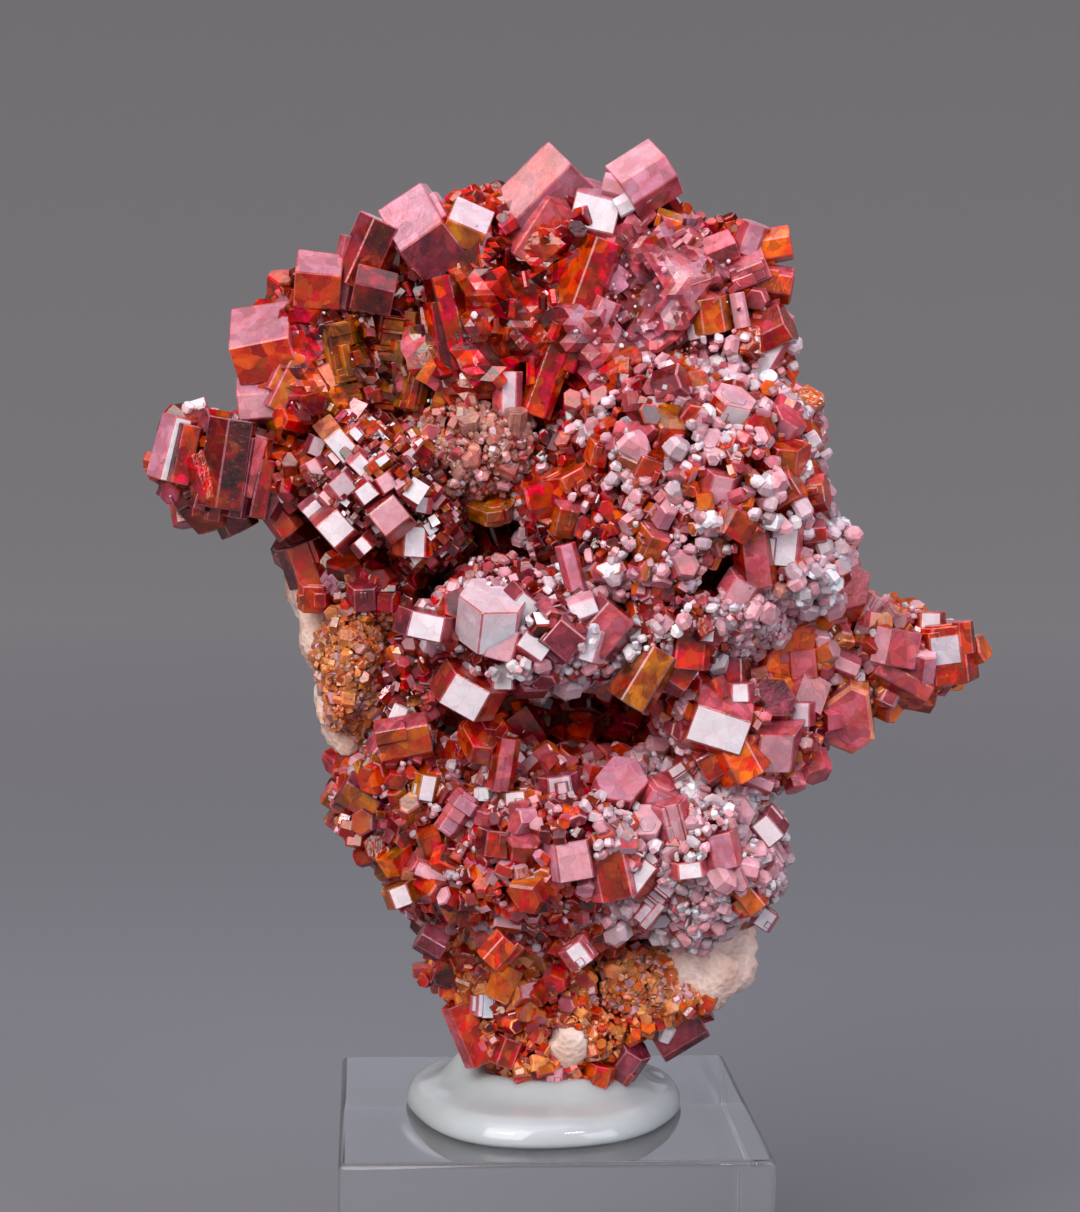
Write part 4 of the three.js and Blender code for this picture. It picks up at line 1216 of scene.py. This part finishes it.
# The right shelf: the broadest white face on the specimen, painted as a reflection of the lamps,
# with dark pink and pale prisms beside it and orange ones beneath, over the lower recess.
RIGHT_SHELF = [
    (-1.1, 0.2, 2.8, 4.2, "brick F:frost T:rose alone", 110, 0, 5),
    (3.1, 1.2, 1.8, 2.6, "brick C:plum", 0, 60),
    (5.1, 0.6, 1.3, 1.8, "rose F:pearl alone"),
    (3.1, -1.2, 2.4, 3.4, "rose F:blush alone", 0, 30),
    (0.5, -2.2, 2.2, 3.6, "rust F:flame", -30),
    (0, 3.4, 1.9, 2.2, "wine T:lilac F:plum", 0, -10),
    (0.3, 2.4, 1.4, 1.4, "rose F:frost alone"),
    (-1, -2.6, 1.7, 3, "brick", 60),
    (1, -4, 0.9, 4.6, "rose F:blush alone", 112, 0, 0, -1),
]
grow_group(
    "right_shelf_crystals", RIGHT_SHELF,
    [
        prisms(0.55, "rose 6, brick 2, rust 4, peach 2, wine 1, blush 3", tip=55),
    ],
    ["wine brick wine"],
    [
        beads(0.3, "pearl 3, blush 3", fill=0.25, clump=0.0),
    ],
)

# The lower lobe: the largest swelling. Prisms with faces painted white as reflections of the lamps
# across its middle, lilac and pale crystals at its upper right, dark orange-brown ones at the left
# and below.
LOWER_LOBE = [
    (-12.7, 8.9, 0.9, 1.4, "frost", 20, 0, 0, -0.5),
    (-12.5, 7.2, 2.3, 4.4, "rust T:rose F:ember", 78, 0, 10, -1),
    (-10.9, 6.4, 0.8, 1.2, "pearl", 0, 50),
    (-13.5, 5.4, 1.1, 1.6, "rose", 0, 40),
    (-6.8, 7.6, 2, 2.6, "rust C:brick", 10, 50, 0, -3),
    (-5.3, 5.8, 1.2, 4.4, "brick F:rose", 8, 0, 0, -4),
    (-11, 3.8, 1.3, 2.2, "amber F:frost", 10, 0, 10),
    (-15.8, 2.6, 1.7, 3.4, "wine F:amber", -60),
    (-6.7, 3.4, 0.8, 1, "frost"),
    (-4.6, 3.3, 1.5, 1.2, "amber F:frost", -5),
    (-8.6, 2, 1.3, 3.6, "rose F:lilac stack", 35),
    (-5.9, 0.2, 1.8, 2.2, "wine F:blood", 8),
    (-3.9, -0.2, 1.7, 3, "brick C:rose", 0, 40),
    (-0.5, -0.7, 2.7, 3.3, "plum F:blush L:lilac alone", -10, 5),
    (2.5, -2, 2, 4.2, "rose F:brick alone", -12),
    (-9.9, -2.6, 0.9, 4.2, "brick F:blush", 112),
    (-9.3, -4.7, 1.2, 3.4, "wine F:amber", -30),
    (-12.8, -4.2, 1.6, 1.8, "amber F:frost", -20, 0, 0, -2),
    (-1.1, 4.1, 1.8, 1.9, "plum F:pearl", -10),
    (3.2, 3.8, 2.4, 3.4, "rose C:lilac alone", 8, 50),
    (5.8, 3, 1.8, 3, "rose F:lilac", 20, 20),
    (7.2, 1.6, 1.7, 3.6, "rose F:blush", -15, 10),
    (7.9, 4.6, 2, 2.2, "rose F:frost stack", -35),
    (5.1, 1.2, 1.6, 2.4, "blush C:blush", 0, 55),
    (4.6, -2.5, 1.7, 3.3, "brick F:frost", 38),
    (5.8, -4.3, 1.6, 4.4, "rose F:pearl stack", 42),
    (8.3, -1.7, 1.9, 1.4, "rose F:frost", -8),
    (10.5, -0.4, 1.8, 3, "rose F:lilac", -12),
    (11.8, -1.7, 1, 3.4, "blush", 100),
    (14.2, 0.6, 1.8, 2.4, "plum F:frost", -42),
    (14.2, -6.2, 1.3, 1.7, "rose F:frost", 35, 0, 0, -0.5),
    (12.6, -4.2, 1.6, 3, "rust F:peach", -40),
    (10.9, -4.9, 0.8, 1, "blush", 20),
    (0.1, -8, 1.4, 2, "rose F:frost", -35, 0, 0, -5),
    (-3.2, -5.2, 0.8, 1.2, "blush C:plum", 0, 60),
    (-6.6, -6.4, 0.7, 0.9, "pearl"),
    (-5.5, -8, 1.4, 2.6, "rust", 40, 0, 0, -4),
    (-10.4, -7.8, 1.3, 2.4, "plum", -60, 0, 0, -1.5),
    (14.8, -1.4, 1.2, 2, "blush", -30),
]
grow_group(
    "lower_lobe_crystals", LOWER_LOBE,
    [
        prisms(0.48, "brick 4, rose 6, rust 4, wine 1, plum 1, blood 2, blush 3.5, lilac 1.5, peach 1",
               long=1.4),
        prisms(0.46, "rose 3, blush 8, pearl 5, frost 1, peach 3", at=(9.5, 41, 8, 8), long=1.1, tip=55,
               painted_glint="frost 0.12, blush 0.2"),
        prisms(0.55, "rust 3, amber 3, brick 3, wine 1.5, peach 2, rose 3", at=(-12, 43, 5, 6), tip=55),
        prisms(0.4, "rust 4, blood 4, wine 1.5, brick 3, rose 4, blush 1", at=(0, 35, 12, 3.8), long=1.5),
    ],
    # The scarlet crust along the lower recess is painted light, brightening its shade.
    ["wine blood blood brick", (0, 50, 12, 4, "scarlet blood scarlet")],
    [
        beads(0.3, "pearl 3, blush 3", fill=0.1, clump=0.05),
        beads(0.4, "pearl 4, blush 6, frost 2", at=(10, 41.5, 7.5, 8), fill=0.85, long=1.1, clump=-0.1),
        beads(0.34, "pearl 2, blush 3", at=(-9, 47, 6, 3), fill=0.3, clump=0.0),
    ],
    scale=0.88,
)

# The foot: small crystals and an orange druse, thinning to bare rock, down to where the putty
# grips it.
FOOT = [
    (-6.6, -1, 1.6, 5, "rust R:rust L:rose", -22, 0, 0, -1),
    (-1.3, -4.8, 1.8, 2.6, "brick", -10),
    (-0.4, -4, 1.1, 1.3, "rose F:blush"),
    (0.3, -5, 0.7, 1.9, "frost", 55, 0, 0, -2),
    (9, -1.1, 2, 4, "plum", 60, 0, 0, 0),
    (5.3, -3.4, 1.5, 2.6, "plum", 30, 20, 0, -1),
    (-5.7, 1.4, 1.2, 1.8, "rose F:frost"),
    (-8.4, 3.4, 1.3, 2.2, "wine", -70, 0, 0, -0.5),
    (2.9, -4.3, 1.3, 2, "rust", 10, 0, 0, -2),
    (-4, -2.2, 1.3, 2.2, "brick", 20),
    (8.1, -1.2, 0.6, 1.2, "frost", 20, 20, 0, -1.4),
]
grow_group(
    "foot_druse", FOOT,
    [
        prisms(0.41, "rust 4, blood 2, flame 2, brick 1, rose 3, peach 4, apricot 6", long=1.5),
        prisms(0.26, "apricot 8, flame 1, peach 3, blush 3", at=(7.6, 30.5, 4.8, 3), long=1.1, mixed=0.2),
        prisms(0.32, "apricot 6, peach 4, flame 2, rust 1", at=(4.5, 26, 3, 3), long=1.2),
    ],
    ["rust wine blood", (6, 29, 6, 5, "apricot peach apricot peach")],
)

# The left edge: a skin of orange-pink grains over the pale rock, under a few dark crystals.
LEFT_EDGE = [
    (-3, 7, 1.8, 3.2, "wine F:brick", -20, 0, 0, 0.5),
    (-2.3, 4.8, 1.4, 2.2, "rust", 0, 20, 0, -1),
    (-0.8, 6, 1, 1.6, "lilac", 30, 30),
    (1.3, 5.2, 1.4, 2, "plum", 0, 30),
]
grow_group(
    "left_edge_druse", LEFT_EDGE,
    [
        prisms(0.26, "apricot 8, peach 3, druse 3, blush 2", long=1.1, mixed=0.2),
        prisms(0.5, "brick 3, rose 4, blood 2, wine 2, blush 1", at=(-9.8, 52.5, 3.2, 5)),
        prisms(0.5, DEEP_REDS + ", plum 2", at=(-13.5, 61, 5, 3), tip=55),
    ],
    ["apricot peach druse apricot"],
    sunk=0.5,
)

# The back: one rosette of small prisms on the bare rock, as such specimens carry. The table's
# crystals are seated at the front of its masses, so they lie in the rock and do not show.
BACK = [
    (0, 0, 2.4, 3.4, "brick", 10, -60),
    (-3.6, 3.6, 1.9, 3, "rust", -20, -50),
    (3.8, 2.6, 1.9, 3, "brick", 40, -40),
    (2.6, -3.6, 1.6, 2.6, "rose", 140, -50),
    (-3.4, -2.8, 1.6, 2.6, "rust", -130, -50),
    (-8.4, 7, 1.8, 3, "brick", -60, -40),
    (-5, 9.4, 1.4, 2.4, "rose", -10, -40),
    (5.8, -1.2, 1.3, 2.2, "rust", 90, -40),
]
grow_group(
    "back_crystals", BACK,
    [
        prisms(0.7, "rust 3, brick 4, rose 2, wine 2, blood 2", tip=45),
    ],
    ["wine brick rust"],
)

# The hollows: between the groups the rock is lined with small dark crystals, over its front and
# sides only, clear of the places where it is bare.
LINED_BEFORE = 4
hollow = cover(
    ROCK_LUMPS, np.zeros(3), [(lumps, np.array(origin)) for lumps, origin in MASSES.values()], [],
    [
        prisms(0.74, "wine 4, blood 5, rust 1, brick 2", long=1.4),
        # Scarlet crystals in the lower recess are painted light, brightening its deep shade.
        prisms(0.66, "scarlet 5, blood 4, wine 1", at=(3, 50, 9, 4), long=1.6),
    ],
)
lined = hollow["centre"][:, 1] < LINED_BEFORE
for x, y, z, radius in BARE_ROCK:
    lined &= np.linalg.norm(hollow["centre"] - (x, y, z), axis=1) > radius
hollow = {key: value[lined] for key, value in hollow.items()}
piece_from("hollow_prisms", join_crystals("hollow_prisms", [("plain", hollow)]), vanadinite)

# The stage: a grey seamless sweep that rises all the way round.
SWEEP_RADIUS = 0.75
SWEEP_RISE = 0.6
SWEEP_HEIGHT = 1.2
SWEEP_DROP = 0.2
SWEEP_TURNS = 96
SWEEP_RINGS = 48
profile = []
for ring in range(1, SWEEP_RINGS + 1):
    share = math.sin(ring / SWEEP_RINGS * math.pi / 2)
    profile.append((SWEEP_RADIUS * share, SWEEP_RISE * (1 - math.sqrt(max(0.0, 1 - share ** 4)))))
profile.append((SWEEP_RADIUS, SWEEP_HEIGHT))
points = [(0, 0, -SWEEP_DROP)]
for reach, height in profile:
    for step in range(SWEEP_TURNS):
        turn = 2 * math.pi * step / SWEEP_TURNS
        points.append((reach / MM * math.cos(turn), reach / MM * math.sin(turn), height / MM - SWEEP_DROP))
faces = [(0, 1 + step, 1 + (step + 1) % SWEEP_TURNS) for step in range(SWEEP_TURNS)]
faces += ring_bands(len(profile) - 1, SWEEP_TURNS, first=1)
sweep = bpy.data.objects.new("sweep", mesh_of("sweep", points, faces, True))
bpy.context.scene.collection.objects.link(sweep)
# Matt grey backdrop paper, a shade lighter once it has risen 20 mm.
paper, tree, shader, place = begin_finish("backdrop_paper")
risen = span(tree, add(tree, "SeparateXYZ", {"Vector": place}).outputs["Z"], 0.0, 0.02)
feed(tree, shader, Base_Color=blend(tree, risen, "#75757a", "#8a898a"), Roughness=0.9)
sweep.data.materials.append(paper)

# The light: a dim even sky, three soft boxes in front and above, two small cards that put the
# glints on the putty, and one behind whose reflection lies along the block's top.
world = bpy.data.worlds.new("studio_air")
world.use_nodes = True
world.node_tree.nodes["Background"].inputs["Color"].default_value = linear("#d8dae0")
world.node_tree.nodes["Background"].inputs["Strength"].default_value = 0.42
bpy.context.scene.world = world


def lamp(name, place, aim, width, height, watts, colour, spread=math.pi):
    """A soft box: a rectangular lamp turned to a point, not seen itself."""
    light = bpy.data.lights.new(name, "AREA")
    light.shape = "RECTANGLE"
    light.size = width
    light.size_y = height
    light.energy = watts
    light.color = linear(colour)[:3]
    light.spread = spread
    lit = bpy.data.objects.new(name, light)
    lit.location = place
    lit.rotation_euler = (Vector(aim) - Vector(place)).to_track_quat("-Z", "Y").to_euler()
    lit.visible_camera = False
    lit.visible_transmission = False
    bpy.context.scene.collection.objects.link(lit)


middle = (0, 0, 0.058)
block_top = (0, 0, 0.019)
lamp("key_box", (-0.24, -0.36, 0.34), middle, 0.42, 0.42, 3.1, "#fff8f2")
lamp("fill_box", (0.38, -0.30, 0.16), middle, 0.26, 0.34, 1.1, "#f4f4ff")
lamp("top_box", (0.02, -0.02, 0.50), middle, 0.6, 0.5, 1.5, "#f3efff")
lamp("left_card", (-0.20, -0.32, 0.34), middle, 0.12, 0.03, 0.3, "#ffffff")
lamp("right_card", (0.20, -0.30, 0.34), middle, 0.12, 0.03, 0.3, "#ffffff")
lamp("back_card", (0.0, 0.50, 0.19), block_top, 0.5, 0.12, 0.024, "#e8ecff", spread=math.radians(80))
bpy.context.scene.view_settings.view_transform = "Standard"

# The camera stands a little to the left and slightly above, level with the crest.
LENS = 86.14
TURN, RISE, ROLL = math.radians(-3.459), math.radians(5.263), math.radians(0.5)
DISTANCE = 0.221472
AIM = Vector((-0.000737, 0, 0.057959))
ahead = Vector((-math.sin(TURN) * math.cos(RISE), math.cos(TURN) * math.cos(RISE), -math.sin(RISE)))
right = Vector((math.cos(TURN), math.sin(TURN), 0))
up = right.cross(ahead)
across = right * math.cos(ROLL) + up * math.sin(ROLL)
upward = up * math.cos(ROLL) - right * math.sin(ROLL)
camera_data = bpy.data.cameras.new("camera")
camera_data.lens = LENS
camera_data.sensor_width = 36.0
camera_data.clip_start = 0.01
camera_data.clip_end = 10.0
camera = bpy.data.objects.new("camera", camera_data)
camera.matrix_world = (Matrix.Translation(AIM - ahead * DISTANCE)
                       @ Matrix((across, upward, -ahead)).transposed().to_4x4())
bpy.context.scene.collection.objects.link(camera)
bpy.context.scene.camera = camera
